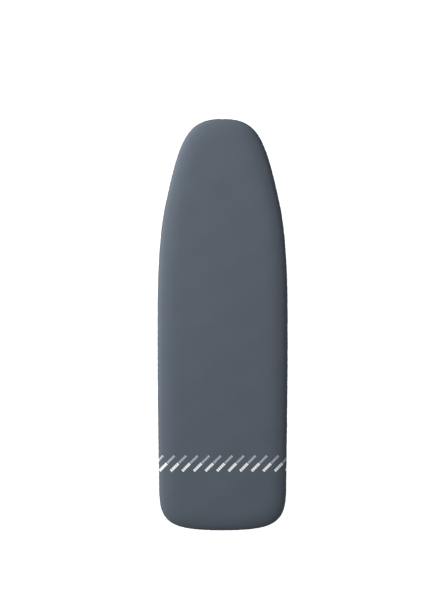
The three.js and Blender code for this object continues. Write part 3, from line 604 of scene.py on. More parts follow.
def gathered(points, rings, rows):
    """Lets the spare cloth between the pad's side and the hem buckle: a cloth
    simulation of that strip alone, held along both of its borders."""
    count = len(RING)
    strip = [index for ring in rings for index in ring]
    faces = [(k * count + i, (k + 1) * count + i, (k + 1) * count + (i + 1) % count,
              k * count + (i + 1) % count) for k in range(len(rings) - 1) for i in range(count)]
    obj = from_lists("gather_trial", [points[index] for index in strip], faces, None)
    group = obj.vertex_groups.new(name="held")
    last = len(rings) - 1
    for k, weight in ((0, 1.0), (1, 0.5), (last - 1, 0.5), (last, 1.0)):
        group.add([k * count + i for i in range(count)], weight, "REPLACE")
    cloth = obj.modifiers.new("cloth", "CLOTH")
    settings = cloth.settings
    settings.quality = 6
    settings.mass = 0.03
    settings.air_damping = 0.6
    settings.tension_stiffness = 40
    settings.compression_stiffness = 40
    settings.shear_stiffness = 8
    settings.bending_stiffness = 0.03
    settings.shrink_min = -SPARE_CLOTH
    settings.shrink_max = -SPARE_CLOTH
    settings.vertex_group_mass = "held"
    settings.pin_stiffness = 30
    settings.effector_weights.gravity = 0
    settings.use_pressure = True
    settings.uniform_pressure_force = 0.4
    cloth.collision_settings.use_collision = False
    cloth.point_cache.frame_start = 1
    cloth.point_cache.frame_end = FRAMES
    scene = bpy.context.scene
    for frame_number in range(1, FRAMES + 1):
        scene.frame_set(frame_number)
    done = obj.evaluated_get(bpy.context.evaluated_depsgraph_get()).data
    normals = [vertex.normal.copy() for vertex in obj.data.vertices]
    for k, index in enumerate(strip):
        inset, z = rows[k // count][:2]
        inward = max(0.3, min(2.5, math.hypot(inset - RIM_INSET, z - RIM_Z) - RIM_CLEAR))
        if z > SIDE_Z - 1.5:
            inward = 0.4
        outward = 0.25 + 2.3 * max(0.0, min(1.0, (SIDE_Z - 1.5 - z) / 6))
        start = Vector(points[index])
        moved = done.vertices[k].co / MM - start
        along = moved.dot(normals[k])
        side = moved - normals[k] * along
        if side.length > 0:
            side *= soft_limit(side.length, 1.5, 1.5) / side.length
        points[index] = tuple(start + side + normals[k] * soft_limit(along, inward, outward))
    scene.frame_set(1)
    bpy.data.objects.remove(obj)


def build_cover():
    count = len(RING)
    points = []
    flat = []
    painted_edge_shade = []
    rings = []
    inner_steps = 13
    inset0 = SECTION[0][0]
    for i_ring in range(inner_steps, 0, -1):
        f = (i_ring / inner_steps) ** 1.15
        row = []
        for i in range(count):
            x, y, ox, oy, s = RING[i]
            ex, ey = x - ox * inset0, y - oy * inset0
            sx, sy = spine_point(ex, ey)
            px, py = ex + (sx - ex) * f, ey + (sy - ey) * f
            away = (x - px) * ox + (y - py) * oy
            row.append(len(points))
            points.append((px, py, crown(away) + top_height(px, py) * min(1.0, f * 5)))
            flat.append((px, py))
            painted_edge_shade.append(0.0)
        rings.append(row)
    for inset, z, beyond, gather in SECTION:
        row = []
        for i in range(count):
            x, y, ox, oy, s = RING[i]
            row.append(len(points))
            points.append(cover_point(i, inset, z, gather))
            flat.append((x + ox * beyond, y + oy * beyond))
            # painted shade: rows within 4.5 mm of the outline, above the drawn-in underside, get
            # the edge darkening
            painted_edge_shade.append(max(0.0, 1 - inset / 4.5) * max(0.0, min(1.0, (z - UNDER_Z - 1) / 6)))
        rings.append(row)
    start = len(rings) - len(SECTION) + EDGE_ROWS - 5
    gathered(points, rings[start:start + 14], SECTION[EDGE_ROWS - 5:EDGE_ROWS + 9])
    faces = []
    for upper, lower in zip(rings, rings[1:]):
        for i in range(count):
            j = (i + 1) % count
            faces.append((upper[i], lower[i], lower[j], upper[j]))
    cover = from_lists("cover_cloth", points, faces, cover_cloth)
    dark = cover.data.attributes.new("painted_edge_shade", "FLOAT", "POINT")
    dark.data.foreach_set("value", painted_edge_shade)
    layer = cover.data.uv_layers.new(name="cloth")
    for loop in cover.data.loops:
        u, v = flat[loop.vertex_index]
        layer.data[loop.index].uv = (u * MM, v * MM)
    face_outwards(cover, merge=0.01, slivers=0.005)
    return cover


cover = build_cover()

# ------------------------------------------------------------------ the pad
PAD_OUTSIDE = 2.1
PAD_TOP = 897.9


def build_pad():
    rows = crown_rows(7, PAD_OUTSIDE, PAD_TOP)
    rows += [(3.2, 884.2), (5.0, 884.4), (5.6, 886.0), (5.9, 889.6), (7.0, 890.6)]
    step = 2
    ring = RING[::step]
    count = len(ring)
    points = []
    faces = []
    for inset, z in rows:
        for x, y, ox, oy, s in ring:
            points.append((x - ox * inset, y - oy * inset, z))
    for k in range(len(rows) - 1):
        for i in range(count):
            j = (i + 1) % count
            faces.append((k * count + i, (k + 1) * count + i, (k + 1) * count + j, k * count + j))
    for base, inset, z, flip in ((0, rows[0][0], rows[0][1], False),
                                 ((len(rows) - 1) * count, rows[-1][0], rows[-1][1], True)):
        previous = list(range(base, base + count))
        for f in (0.06, 0.14, 0.25, 0.4, 0.6, 0.8, 1.0):
            row = []
            for x, y, ox, oy, s in ring:
                ex, ey = x - ox * inset, y - oy * inset
                sx, sy = spine_point(ex, ey)
                px, py = ex + (sx - ex) * f, ey + (sy - ey) * f
                dimple = 0.4 * math.sin(px / 19.0) * math.sin(py / 23.0) if flip else 0.0
                away = (x - px) * ox + (y - py) * oy
                level = z if flip else crown(away, PAD_TOP, PAD_OUTSIDE)
                row.append(len(points))
                points.append((px, py, level + abs(dimple)))
            for i in range(count):
                j = (i + 1) % count
                quad = (previous[i], previous[j], row[j], row[i])
                faces.append(quad[::-1] if flip else quad)
            previous = row
    pad = from_lists("felt_pad", points, faces, pad_felt)
    face_outwards(pad, merge=0.01)
    return pad


pad = build_pad()
finish(pad, "board", "pad")

cloth_area = 0.0
for a, b in zip(RING, RING[1:] + RING[:1]):
    cloth_area += (a[0] * b[1] - b[0] * a[1]) / 2
cloth_area = abs(cloth_area) + PERIMETER * SECTION[-1][2]


# ------------------------------------------------------------------ geometry nodes
def node_tree(name, sockets):
    """An empty geometry tree with its named inputs: (name, kind) each."""
    tree = bpy.data.node_groups.new(name, "GeometryNodeTree")
    tree.interface.new_socket(name="Geometry", in_out="INPUT", socket_type="NodeSocketGeometry")
    for label, kind in sockets:
        tree.interface.new_socket(name=label, in_out="INPUT", socket_type="NodeSocket" + kind)
    tree.interface.new_socket(name="Geometry", in_out="OUTPUT", socket_type="NodeSocketGeometry")
    inputs = tree.nodes.new("NodeGroupInput").outputs
    output = tree.nodes.new("NodeGroupOutput")
    return tree, inputs, output


def grow(obj, tree, values, material):
    """Runs a tree on an object with these inputs and keeps the mesh it makes."""
    modifier = obj.modifiers.new("grow", "NODES")
    modifier.node_group = tree
    sockets = {item.name: item.identifier for item in tree.interface.items_tree
               if item.in_out == "INPUT"}
    for label, value in values.items():
        modifier[sockets[label]] = value
    modifier[sockets["Material"]] = material
    return bake(obj)


def finish_tree(tree, geometry, inputs, output, smooth=True):
    shaded = add(tree, "GeometryNodeSetShadeSmooth", {"Geometry": geometry, "Shade Smooth": smooth})
    done = add(tree, "GeometryNodeSetMaterial", {"Geometry": shaded.outputs["Geometry"],
                                                 "Material": inputs["Material"]})
    tree.links.new(done.outputs["Geometry"], output.inputs["Geometry"])


def lay_on_cloth(tree, geometry, cloth, lift, side_lift=0.0, lowest=0.0):
    """Moves points drawn on the flat pattern to where the sewn cloth has them.
    side_lift is added where the cloth is turned down and gathers, and points are
    dropped where it has come down below the height lowest."""
    held = add(tree, "GeometryNodeObjectInfo", {"Object": cloth}).outputs["Geometry"]
    pattern = add(tree, "GeometryNodeInputNamedAttribute", {"Name": "cloth"},
                  data_type="FLOAT_VECTOR").outputs["Attribute"]
    here = add(tree, "GeometryNodeInputPosition").outputs["Position"]
    parts = add(tree, "ShaderNodeSeparateXYZ", {"Vector": here})
    at = add(tree, "ShaderNodeCombineXYZ", {"X": parts.outputs["X"], "Y": parts.outputs["Y"]})
    found = {}
    for label, field in (("place", "GeometryNodeInputPosition"),
                         ("facing", "GeometryNodeInputNormal")):
        value = add(tree, field).outputs[0]
        sample = add(tree, "GeometryNodeSampleUVSurface",
                     {"Mesh": held, "UV Map": pattern, "Sample UV": at, "Value": value},
                     data_type="FLOAT_VECTOR")
        found[label] = sample.outputs["Value"]
        found["real"] = sample.outputs["Is Valid"]
    facing_up = add(tree, "ShaderNodeSeparateXYZ", {"Vector": found["facing"]}).outputs["Z"]
    turned_down = add(tree, "ShaderNodeMath", {0: 1.0, 1: facing_up}, operation="SUBTRACT",
                      use_clamp=True)
    height = add(tree, "ShaderNodeMath", {0: parts.outputs["Z"], 1: lift}, operation="ADD")
    spare = add(tree, "ShaderNodeMath", {0: turned_down, 1: side_lift}, operation="MULTIPLY")
    height = add(tree, "ShaderNodeMath", {0: height, 1: spare}, operation="ADD")
    level = add(tree, "ShaderNodeSeparateXYZ", {"Vector": found["place"]}).outputs["Z"]
    high = add(tree, "ShaderNodeMath", {0: level, 1: lowest}, operation="GREATER_THAN")
    shown = add(tree, "ShaderNodeMath", {0: found["real"], 1: high}, operation="MULTIPLY")
    raised = add(tree, "ShaderNodeVectorMath", {0: found["facing"], "Scale": height},
                 operation="SCALE")
    place = add(tree, "ShaderNodeVectorMath", {0: found["place"], 1: raised}, operation="ADD")
    keep = add(tree, "GeometryNodeCaptureAttribute", {"Geometry": geometry})
    keep.capture_items.new("VECTOR", "place")
    keep.capture_items.new("BOOLEAN", "shown")
    give(tree, keep, {"place": place, "shown": shown})
    hidden = add(tree, "FunctionNodeBooleanMath", {0: keep.outputs["shown"]}, operation="NOT")
    kept = add(tree, "GeometryNodeDeleteGeometry",
               {"Geometry": keep.outputs["Geometry"], "Selection": hidden})
    return add(tree, "GeometryNodeSetPosition",
               {"Geometry": kept, "Position": keep.outputs["place"]}).outputs["Geometry"]


def printed_marks_tree():
    """A band of leaning marks, each a row of blocks, printed across the cloth."""
    tree, given, output = node_tree("printed_marks", [
        ("Marks", "Int"), ("Mark pitch", "Float"), ("First mark", "Vector"), ("Blocks", "Int"),
        ("Block pitch", "Float"), ("Block width", "Float"), ("Block length", "Float"),
        ("Lean", "Float"), ("Cloth", "Object"), ("Lift", "Float"), ("Side lift", "Float"),
        ("Lowest place", "Float"), ("Material", "Material")])
    block = add(tree, "GeometryNodeMeshGrid", {
        "Size X": given["Block width"], "Size Y": given["Block length"],
        "Vertices X": 13, "Vertices Y": 9}).outputs["Mesh"]
    step = add(tree, "ShaderNodeCombineXYZ", {"X": 0.0, "Y": given["Block pitch"]})
    row = add(tree, "GeometryNodeMeshLine", {"Count": given["Blocks"], "Offset": step},
              mode="OFFSET").outputs["Mesh"]
    blocks = add(tree, "GeometryNodeInstanceOnPoints", {"Points": row, "Instance": block})
    mark = add(tree, "GeometryNodeRealizeInstances", {"Geometry": blocks.outputs["Instances"]})
    turn = add(tree, "ShaderNodeCombineXYZ", {"X": 0.0, "Y": 0.0, "Z": given["Lean"]})
    leaning = add(tree, "GeometryNodeTransform", {
        "Geometry": mark.outputs["Geometry"], "Rotation": turn}).outputs["Geometry"]
    pitch = add(tree, "ShaderNodeCombineXYZ", {"X": given["Mark pitch"]})
    places = add(tree, "GeometryNodeMeshLine", {
        "Count": given["Marks"], "Start Location": given["First mark"], "Offset": pitch},
        mode="OFFSET").outputs["Mesh"]
    band = add(tree, "GeometryNodeInstanceOnPoints", {"Points": places, "Instance": leaning})
    flat = add(tree, "GeometryNodeRealizeInstances", {"Geometry": band.outputs["Instances"]})
    laid = lay_on_cloth(tree, flat.outputs["Geometry"], given["Cloth"], given["Lift"],
                        given["Side lift"], given["Lowest place"])
    finish_tree(tree, laid, given, output)
    return tree


def row_of_balls(tree, given, pitch, size, segments, largest):
    """Small balls one after another along each line of the mesh that is given."""
    line = add(tree, "GeometryNodeMeshToCurve", {"Mesh": given["Geometry"]})
    even = add(tree, "GeometryNodeResampleCurve", {"Curve": line, "Length": given[pitch]},
               mode="LENGTH")
    along = add(tree, "GeometryNodeInputTangent")
    turn = add(tree, "FunctionNodeAlignRotationToVector", {"Vector": along}, axis="X")
    ball = add(tree, "GeometryNodeMeshUVSphere",
               {"Segments": segments, "Rings": 5, "Radius": 0.5})
    wobble = add(tree, "FunctionNodeRandomValue", {2: 0.85, 3: largest, "Seed": given["Seed"]},
                 data_type="FLOAT").outputs[1]
    grown = add(tree, "ShaderNodeVectorMath", {0: given[size], "Scale": wobble},
                operation="SCALE")
    row = add(tree, "GeometryNodeInstanceOnPoints", {
        "Points": even, "Instance": ball, "Rotation": turn, "Scale": grown})
    return add(tree, "GeometryNodeRealizeInstances", {"Geometry": row})


def stitches_tree():
    """Stitches one after another along a line drawn on the flat pattern."""
    tree, given, output = node_tree("stitches", [
        ("Stitch pitch", "Float"), ("Stitch size", "Vector"), ("Cloth", "Object"),
        ("Lift", "Float"), ("Seed", "Int"), ("Material", "Material")])
    flat = row_of_balls(tree, given, "Stitch pitch", "Stitch size", 6, 1.12)
    finish_tree(tree, lay_on_cloth(tree, flat, given["Cloth"], given["Lift"]), given, output)
    return tree


def beads_tree():
    """The overlapping beads of a weld along each line of the mesh it is given."""
    tree, given, output = node_tree("weld_beads", [
        ("Bead pitch", "Float"), ("Bead size", "Vector"), ("Seed", "Int"),
        ("Material", "Material")])
    finish_tree(tree, row_of_balls(tree, given, "Bead pitch", "Bead size", 8, 1.15), given, output)
    return tree


def expanded_mesh_tree():
    """Expanded metal: a lattice of slightly twisted strands inside an outline."""
    tree, given, output = node_tree("expanded_mesh", [
        ("Across", "Float"), ("Along", "Float"), ("Columns", "Int"), ("Rows", "Int"),
        ("Strand", "Vector"), ("Twist", "Float"), ("Slant", "Float"), ("Height", "Float"),
        ("Outline", "Object"), ("Material", "Material")])
    total = []
    for count, size in (("Columns", "Across"), ("Rows", "Along")):
        spaces = add(tree, "ShaderNodeMath", {0: given[count], 1: 1.0}, operation="SUBTRACT")
        total.append(add(tree, "ShaderNodeMath", {0: spaces, 1: given[size]},
                         operation="MULTIPLY"))
    lattice = add(tree, "GeometryNodeMeshGrid", {
        "Size X": total[0], "Size Y": total[1], "Vertices X": given["Columns"],
        "Vertices Y": given["Rows"]})
    lift = add(tree, "ShaderNodeCombineXYZ", {"X": 0.0, "Y": 0.0, "Z": given["Height"]})
    raised = add(tree, "GeometryNodeSetPosition", {"Geometry": lattice, "Offset": lift})
    here = add(tree, "GeometryNodeInputPosition").outputs["Position"]
    parts = add(tree, "ShaderNodeSeparateXYZ", {"Vector": here})
    steps = []
    for axis, size, whole in (("X", "Across", total[0]), ("Y", "Along", total[1])):
        half = add(tree, "ShaderNodeMath", {0: whole, 1: 2.0}, operation="DIVIDE")
        from_start = add(tree, "ShaderNodeMath", {0: parts.outputs[axis], 1: half},
                         operation="ADD")
        spaces = add(tree, "ShaderNodeMath", {0: from_start, 1: given[size]},
                     operation="DIVIDE")
        steps.append(add(tree, "ShaderNodeMath", {0: spaces}, operation="ROUND"))
    both = add(tree, "ShaderNodeMath", {0: steps[0], 1: steps[1]}, operation="ADD")
    parity = add(tree, "ShaderNodeMath", {0: both, 1: 2.0}, operation="MODULO")
    falling = add(tree, "ShaderNodeMath", {0: parity, 1: 0.5}, operation="GREATER_THAN")
    twice = add(tree, "ShaderNodeMath", {0: falling, 1: 2.0}, operation="MULTIPLY")
    sign = add(tree, "ShaderNodeMath", {0: 1.0, 1: twice}, operation="SUBTRACT")
    slant = add(tree, "ShaderNodeMath", {0: sign, 1: given["Slant"]}, operation="MULTIPLY")
    turn = add(tree, "ShaderNodeCombineXYZ", {"X": given["Twist"], "Y": 0.0, "Z": slant})
    plate = add(tree, "GeometryNodeObjectInfo", {"Object": given["Outline"]})
    hit = add(tree, "GeometryNodeRaycast", {
        "Target Geometry": plate.outputs["Geometry"], "Source Position": here,
        "Ray Direction": (0.0, 0.0, 1.0), "Ray Length": 0.5}).outputs["Is Hit"]
    strand = add(tree, "GeometryNodeMeshCube", {"Size": given["Strand"]})
    strands = add(tree, "GeometryNodeInstanceOnPoints", {
        "Points": raised, "Selection": hit, "Instance": strand, "Rotation": turn})
    real = add(tree, "GeometryNodeRealizeInstances", {"Geometry": strands})
    finish_tree(tree, real, given, output, smooth=False)
    return tree


def edges_only(name, points, edges):
    mesh = bpy.data.meshes.new(name)
    mesh.from_pydata([tuple(c * MM for c in p) for p in points], edges, [])
    return make_object(name, mesh, None)


def closed_line(name, points):
    return edges_only(name, points, [(i, (i + 1) % len(points)) for i in range(len(points))])


def lines(name, runs):
    """Edges only: each run is a list of points, closed when its ends meet."""
    points = []
    edges = []
    for run in runs:
        start = len(points)
        closed = (Vector(run[0]) - Vector(run[-1])).length < 0.01
        body = run[:-1] if closed else run
        points.extend(body)
        edges.extend((start + i, start + i + 1) for i in range(len(body) - 1))
        if closed:
            edges.append((start + len(body) - 1, start))
    return edges_only(name, points, edges)


# ------------------------------------------------------------------ print and stitches
BAND_Y = -431.0
MARK_PITCH = 33.6
PRINT_END = 880.0  # height where the print stops on the drawn-in side
marks = printed_marks_tree()
print_pieces = []
for name, ink, values in (
    ("print_bold", ink_white, {"Blocks": 5, "Block pitch": 6.4 * MM, "Block width": 7.8 * MM,
                               "Block length": 5.5 * MM}),
    ("print_fine", ink_grey, {"Blocks": 7, "Block pitch": 4.3 * MM, "Block width": 6.4 * MM,
                              "Block length": 2.7 * MM}),
):
    start = 3.0 if name == "print_bold" else 35.5
    lean = math.radians(-45)
    first = (-184.5 - 2 * MARK_PITCH + start * math.sin(-lean),
             BAND_Y + start * math.cos(lean) + 5.4)
    piece = closed_line(name, [(0, 0, 0), (1, 0, 0)])
    grow(piece, marks, dict(values, **{
        "Marks": 15, "Mark pitch": MARK_PITCH * MM,
        "First mark": (first[0] * MM, first[1] * MM, 0.0),
        "Lean": lean, "Cloth": cover, "Lift": 0.08 * MM,
        "Side lift": 0.25 * MM, "Lowest place": PRINT_END * MM}), ink)
    modify(piece, "film", "SOLIDIFY", thickness=0.05 * MM, offset=-1)
    bake(piece)
    smooth_all(piece, 50)
    print_pieces.append(piece)

STITCH_AT = SECTION[EDGE_ROWS + 6][2] - 0.3  # where the folded hem lies on the cloth
stitch_line = closed_line("hem_stitching", [
    (x + ox * STITCH_AT, y + oy * STITCH_AT, 0) for x, y, ox, oy, s in RING[::2]])
grow(stitch_line, stitches_tree(), {
    "Stitch pitch": 3.4 * MM, "Stitch size": (2.7 * MM, 0.6 * MM, 0.5 * MM), "Cloth": cover,
    "Lift": 0.1 * MM, "Seed": 3}, thread)

modify(cover, "thickness", "SOLIDIFY", thickness=CLOTH * MM, offset=-1)
bake(cover)
smooth_all(cover)
finish(cover, "board", "cover")
for piece in print_pieces + [stitch_line]:
    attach(piece, "board")

# ------------------------------------------------------------------ elastic, panel
def tube_along(name, path, radius, sides, material):
    """A round cord along a closed path."""
    points = []
    faces = []
    count = len(path)
    for i, place in enumerate(path):
        along = (Vector(path[(i + 1) % count]) - Vector(path[i - 1])).normalized()
        across = along.cross(Vector((0, 0, 1))).normalized()
        up = across.cross(along)
        for k in range(sides):
            turn = 2 * math.pi * k / sides
            r = radius * (1 + 0.05 * math.sin(i * 1.3 + 2 * turn))
            points.append(tuple(Vector(place) + across * (r * math.cos(turn))
                                + up * (r * math.sin(turn))))
    for i in range(count):
        j = (i + 1) % count
        for k in range(sides):
            m = (k + 1) % sides
            faces.append((i * sides + k, j * sides + k, j * sides + m, i * sides + m))
    return from_lists(name, points, faces, material)


elastic_cord = tube_along("elastic_cord", [
    (x - ox * HEM_INSET, y - oy * HEM_INSET, HEM_Z) for x, y, ox, oy, s in RING[::3]],
    ELASTIC_R, 10, elastic)
finish(elastic_cord, "board", "hem_elastic")

inside_line = [(x - ox * 12, y - oy * 12, 900) for x, y, ox, oy, s in RING[::4]]
boundary = from_lists("mesh_boundary", inside_line, [list(range(len(inside_line)))], None)
expanded = closed_line("expanded_mesh", [(0, 0, 0), (1, 0, 0)])
grow(expanded, expanded_mesh_tree(), {
    "Across": 11.0 * MM, "Along": 5.0 * MM, "Columns": 35, "Rows": 239,
    "Strand": (12.8 * MM, 1.5 * MM, 0.8 * MM), "Twist": math.radians(22),
    "Slant": math.atan(5.0 / 11.0), "Height": 889.7 * MM, "Outline": boundary}, mesh_steel)
bpy.data.objects.remove(boundary)

edge_rows = [(6.9, 890.2), (20.0, 890.2), (20.0, 889.2), (6.9, 889.2)]
edge_ring = RING[::4]
edge_points = [(x - ox * inset, y - oy * inset, z) for inset, z in edge_rows
               for x, y, ox, oy, s in edge_ring]
count = len(edge_ring)
edge_faces = [(k * count + i, (k + 1) % 4 * count + i, (k + 1) % 4 * count + (i + 1) % count,
               k * count + (i + 1) % count) for k in range(4) for i in range(count)]
mesh_edge = from_lists("mesh_edge_strip", edge_points, edge_faces, mesh_steel, smooth=False)
face_outwards(mesh_edge)
for piece in (expanded, mesh_edge):
    finish(piece, "board", "top_panel")

# ------------------------------------------------------------------ sheet-metal parts
def refined(node, material, edge, segments=2, angle=32):
    """A copy of a CAD node with its edges rounded over and its facets smoothed."""
    source = nodes[node]
    mesh = source.data.copy()
    mesh.materials.clear()
    obj = make_object(node + "_finished", mesh, material)
    modify(obj, "weld", "WELD", merge_threshold=0.02 * MM)
    modify(obj, "flat", "DECIMATE", decimate_type="DISSOLVE", angle_limit=math.radians(1.0))
    modify(obj, "edges", "BEVEL", width=edge * MM, segments=segments, limit_method="ANGLE",
           angle_limit=math.radians(angle), miter_outer="MITER_ARC", use_clamp_overlap=True)
    bake(obj)
    work = bmesh.new()
    work.from_mesh(obj.data)
    bmesh.ops.triangulate(work, faces=[face for face in work.faces if len(face.verts) > 4])
    bmesh.ops.dissolve_degenerate(work, edges=work.edges, dist=0.002 * MM)
    work.to_mesh(obj.data)
    work.free()
    smooth_all(obj)
    modify(obj, "normals", "WEIGHTED_NORMAL", keep_sharp=True)
    bake(obj)
    return finish(obj, source["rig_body"], node)


for node in ("tail_member", "hinge_member", "centre_member", "nose_member", "rail_left",
             "rail_right", "hinge_bracket_left", "hinge_bracket_right", "clamp_housing",
             "hook_bracket"):
    refined(node, frame_coat, 0.5)
for node in ("front_clamp_plate", "rear_clamp_plate", "release_lever"):
    refined(node, bright_steel, 0.4)
for node in ("slide_shoe_left", "slide_shoe_right"):
    refined(node, nylon, 0.8, 3)
for node in ("rod_eye", "storage_hook"):
    refined(node, charcoal, 0.8, 3)
for node, material in (("rim", mesh_steel), ("hook_pin", bright_steel),
                       ("lever_pivot_pin", bright_steel)):
    nodes[node].data.materials.clear()
    nodes[node].data.materials.append(material)

# ------------------------------------------------------------------ legs
def leg_frame(y, hand):
    return (Matrix.Translation((0, y, PIVOT[1]))
            @ Matrix.Rotation(hand * (math.pi / 2 + LEG_ANGLE), 4, "X"))


SLIDE_Y = PIVOT[0] + 2 * CROSS_AT * math.cos(LEG_ANGLE)
LEGS = {"outer_leg": (leg_frame(PIVOT[0], -1), OUTER_X),
        "inner_leg": (leg_frame(SLIDE_Y, 1), INNER_X)}
SIDES = (("left", -1), ("right", 1))
ALONG_X = Matrix.Rotation(math.pi / 2, 4, "Y")


def coped_pipe(radius, wall, start, end, meets, both=False, sides=56):
    """A pipe along Z whose end is shaped to sit on a round bar of radius meets
    that lies along X, end being where the bar's middle is."""
    profile = pipe_profile(radius, wall, start, end)
    points, faces = lathe(profile, sides)
    shaped = []
    for index, (x, y, z) in enumerate(points):
        row = index // sides
        if row >= 4:
            z = end - math.sqrt(max(0.0, meets ** 2 - y * y)) - (0.4 if row in (4, 7) else 0.0)
        elif both:
            z = start + math.sqrt(max(0.0, meets ** 2 - y * y)) + (0.4 if row in (0, 3) else 0.0)
        shaped.append((x, y, z))
    return shaped, faces


def placed(part, matrix):
    points, faces = part
    return [tuple(matrix @ Vector(p)) for p in points], faces


def drilled(obj, holes):
    """Cuts round holes along X: (place, radius, half length) each."""
    for place, radius, half in holes:
        tool = merged("drill", [turned([(0, -half), (radius, -half), (radius, half), (0, half)],
                                       Matrix.Translation(place) @ ALONG_X, 24)], None)
        modify(obj, "hole", "BOOLEAN", object=tool, solver="EXACT")
        bake(obj)
        bpy.data.objects.remove(tool)
    return obj


def saddle(matrix, radius, meets, end, hand=1):
    """The line where a pipe along Z sits on a bar along X."""
    run = []
    for i in range(49):
        turn = 2 * math.pi * (i % 48) / 48
        x, y = (radius + 0.2) * math.cos(turn), (radius + 0.2) * math.sin(turn)
        down = math.sqrt(max(0.0, (meets + 0.2) ** 2 - y * y))
        run.append(tuple(matrix @ Vector((x, y, end - hand * down))))
    return run


weld_lines = {"outer_leg": [], "inner_leg": [], "board": []}
for leg, (matrix, x0) in LEGS.items():
    short = leg[:5]
    holes_at = (0, CROSS_AT) if short == "outer" else (CROSS_AT,)
    foot_half = FOOT_HALF[short]
    cap_length = FOOT_HALF["outer"] - OUTER_X - LEG_R - CAP_SPACE
    for side_name, hand in SIDES:
        x = hand * x0
        at = matrix @ Matrix.Translation((x, 0, 0))
        tube = merged(f"{leg}_tube_{side_name}_coped",
                      [placed(coped_pipe(LEG_R, WALL, -OVERHANG, LEG_LENGTH, LEG_R + 0.05), at)],
                      leg_coat)
        drilled(tube, [(tuple(at @ Vector((0, 0, h))), 4.3, LEG_R + 2) for h in holes_at])
        smooth_all(tube, 50)
        finish(tube, leg, f"{leg}_tube_{side_name}")
        weld_lines[leg].append(saddle(at, LEG_R, LEG_R, LEG_LENGTH))

        lip = -OVERHANG - 0.3
        plug = merged(f"{short}_plug_{side_name}", [turned([
            (0, lip - 2), (5, lip - 1.95), (8, lip - 1.75), (9.8, lip - 1.4), (10.7, lip - 0.9),
            (11, lip - 0.4), (11, lip), (9.5, lip), (9.5, lip + 5.6), (8.7, lip + 7), (0, lip + 7)],
            at, 48)], charcoal)
        finish(plug, leg, f"{short}_top_plug_{side_name}")

        half = foot_half
        mouth = half - cap_length
        closed = half - 2.7
        grooves = []
        for g in range(5):
            z = mouth + 8 + g * 5.2
            grooves += [(15, z), (14.2, z + 0.6), (14.2, z + 1.8), (15, z + 2.4)]
        profile = [(0, closed), (11.3, closed), (11.3, mouth), (13.6, mouth), (14.6, mouth + 0.4),
                   (15, mouth + 1.4)] + grooves + [
                   (15, half - 6), (14.6, half - 4), (13.4, half - 2.2), (11.6, half - 0.9),
                   (9, half - 0.2),
                   (7.5, half), (6.5, half - 0.6), (0, half - 0.6)]
        turn = ALONG_X if hand > 0 else Matrix.Rotation(-math.pi / 2, 4, "Y")
        cap = merged(f"{short}_foot_cap_{side_name}_ribbed", [turned(
            profile, Matrix.Translation(matrix @ Vector((0, 0, LEG_LENGTH))) @ turn, 64)],
            charcoal, 40)
        finish(cap, leg, f"{short}_foot_cap_{side_name}")

    reach = foot_half - 3
    bar = merged(f"{short}_foot_bar_round", [turned(pipe_profile(LEG_R, WALL, -reach, reach),
                 Matrix.Translation(matrix @ Vector((0, 0, LEG_LENGTH))) @ ALONG_X, 56)], leg_coat)
    finish(bar, leg, f"{short}_foot_bar")

inner_frame = LEGS["inner_leg"][0]
for name, at, node in (("crossbar_round", 0.0, "crossbar"),
                       ("brace_round", BRACE_AT, "inner_brace")):
    place = inner_frame @ Matrix.Translation((0, 0, at)) @ ALONG_X
    half = INNER_X
    # the pipe lies along X and sits on tubes that run along Z
    turned_frame = place @ Matrix.Rotation(math.pi / 2, 4, "Z")
    coped = coped_pipe(CROSS_R, WALL, -half, half, LEG_R + 0.05, True)
    pipe = merged(name, [placed(coped, turned_frame)], leg_coat)
    finish(pipe, "inner_leg", node)
    for end in (-1, 1):
        weld_lines["inner_leg"].append(saddle(turned_frame, CROSS_R, LEG_R, end * half, end))

# ------------------------------------------------------------------ bolts and pins
def domed(head, face, height):
    """The outline of a domed rivet or bolt head, from its rim in to the axis."""
    rows = []
    for i in range(6):
        turn = (i / 5) * (math.pi / 2)
        rows.append((head * math.cos(turn) if i < 5 else 0,
                     face + 0.8 + (height - 0.8) * math.sin(turn)))
    return [(head, face)] + rows


outer_frame = LEGS["outer_leg"][0]
for side_name, hand in SIDES:
    turn = ALONG_X if hand > 0 else Matrix.Rotation(-math.pi / 2, 4, "Y")
    at = outer_frame @ Matrix.Translation((0, 0, CROSS_AT)) @ turn
    nut_face = INNER_X - LEG_R - 0.3
    head_face = OUTER_X + LEG_R + 0.3
    bolt = merged(f"cross_bolt_{side_name}_domed", [turned(
        [(0, nut_face - 4.5), (3.4, nut_face - 4.5), (4, nut_face - 3.9), (4, head_face)]
        + domed(7, head_face, 3), at, 40)], bright_steel, 40)
    finish(bolt, "outer_leg", f"cross_bolt_{side_name}")
    nut = merged(f"cross_nut_{side_name}_domed", [turned(
        [(0, nut_face - 7.5), (2.6, nut_face - 7.2), (4.8, nut_face - 6), (6.4, nut_face - 4.2),
         (7, nut_face - 3), (7, nut_face - 0.4), (6.6, nut_face), (4.3, nut_face),
         (4.3, nut_face - 5), (0, nut_face - 5)], at, 40)], bright_steel, 40)
    finish(nut, "outer_leg", f"cross_nut_{side_name}")
    low, high = INNER_X + LEG_R + 0.3, OUTER_X - LEG_R - 0.3
    spacer = merged(f"cross_spacer_{side_name}_turned", [turned(
        [(4.3, low), (8.5, low), (9, low + 0.5), (9, high - 0.5), (8.5, high), (4.3, high)],
        at, 40)], nylon, 40)
    finish(spacer, "outer_leg", f"cross_spacer_{side_name}")

    pin_at = Matrix.Translation((hand * OUTER_X, PIVOT[0], PIVOT[1])) @ turn
    end = LEG_R + 0.6 + 2 + 0.3
    pin = merged(f"hinge_pin_{side_name}_domed", [turned(
        [(0, -end - 1.8), (4.4, -end - 1.7), (5.6, -end - 1.2), (6, -end - 0.5), (6, -end),
         (4, -end), (4, end)]
        + domed(7, end, 3), pin_at, 40)], bright_steel, 40)
    finish(pin, "board", f"hinge_pin_{side_name}")

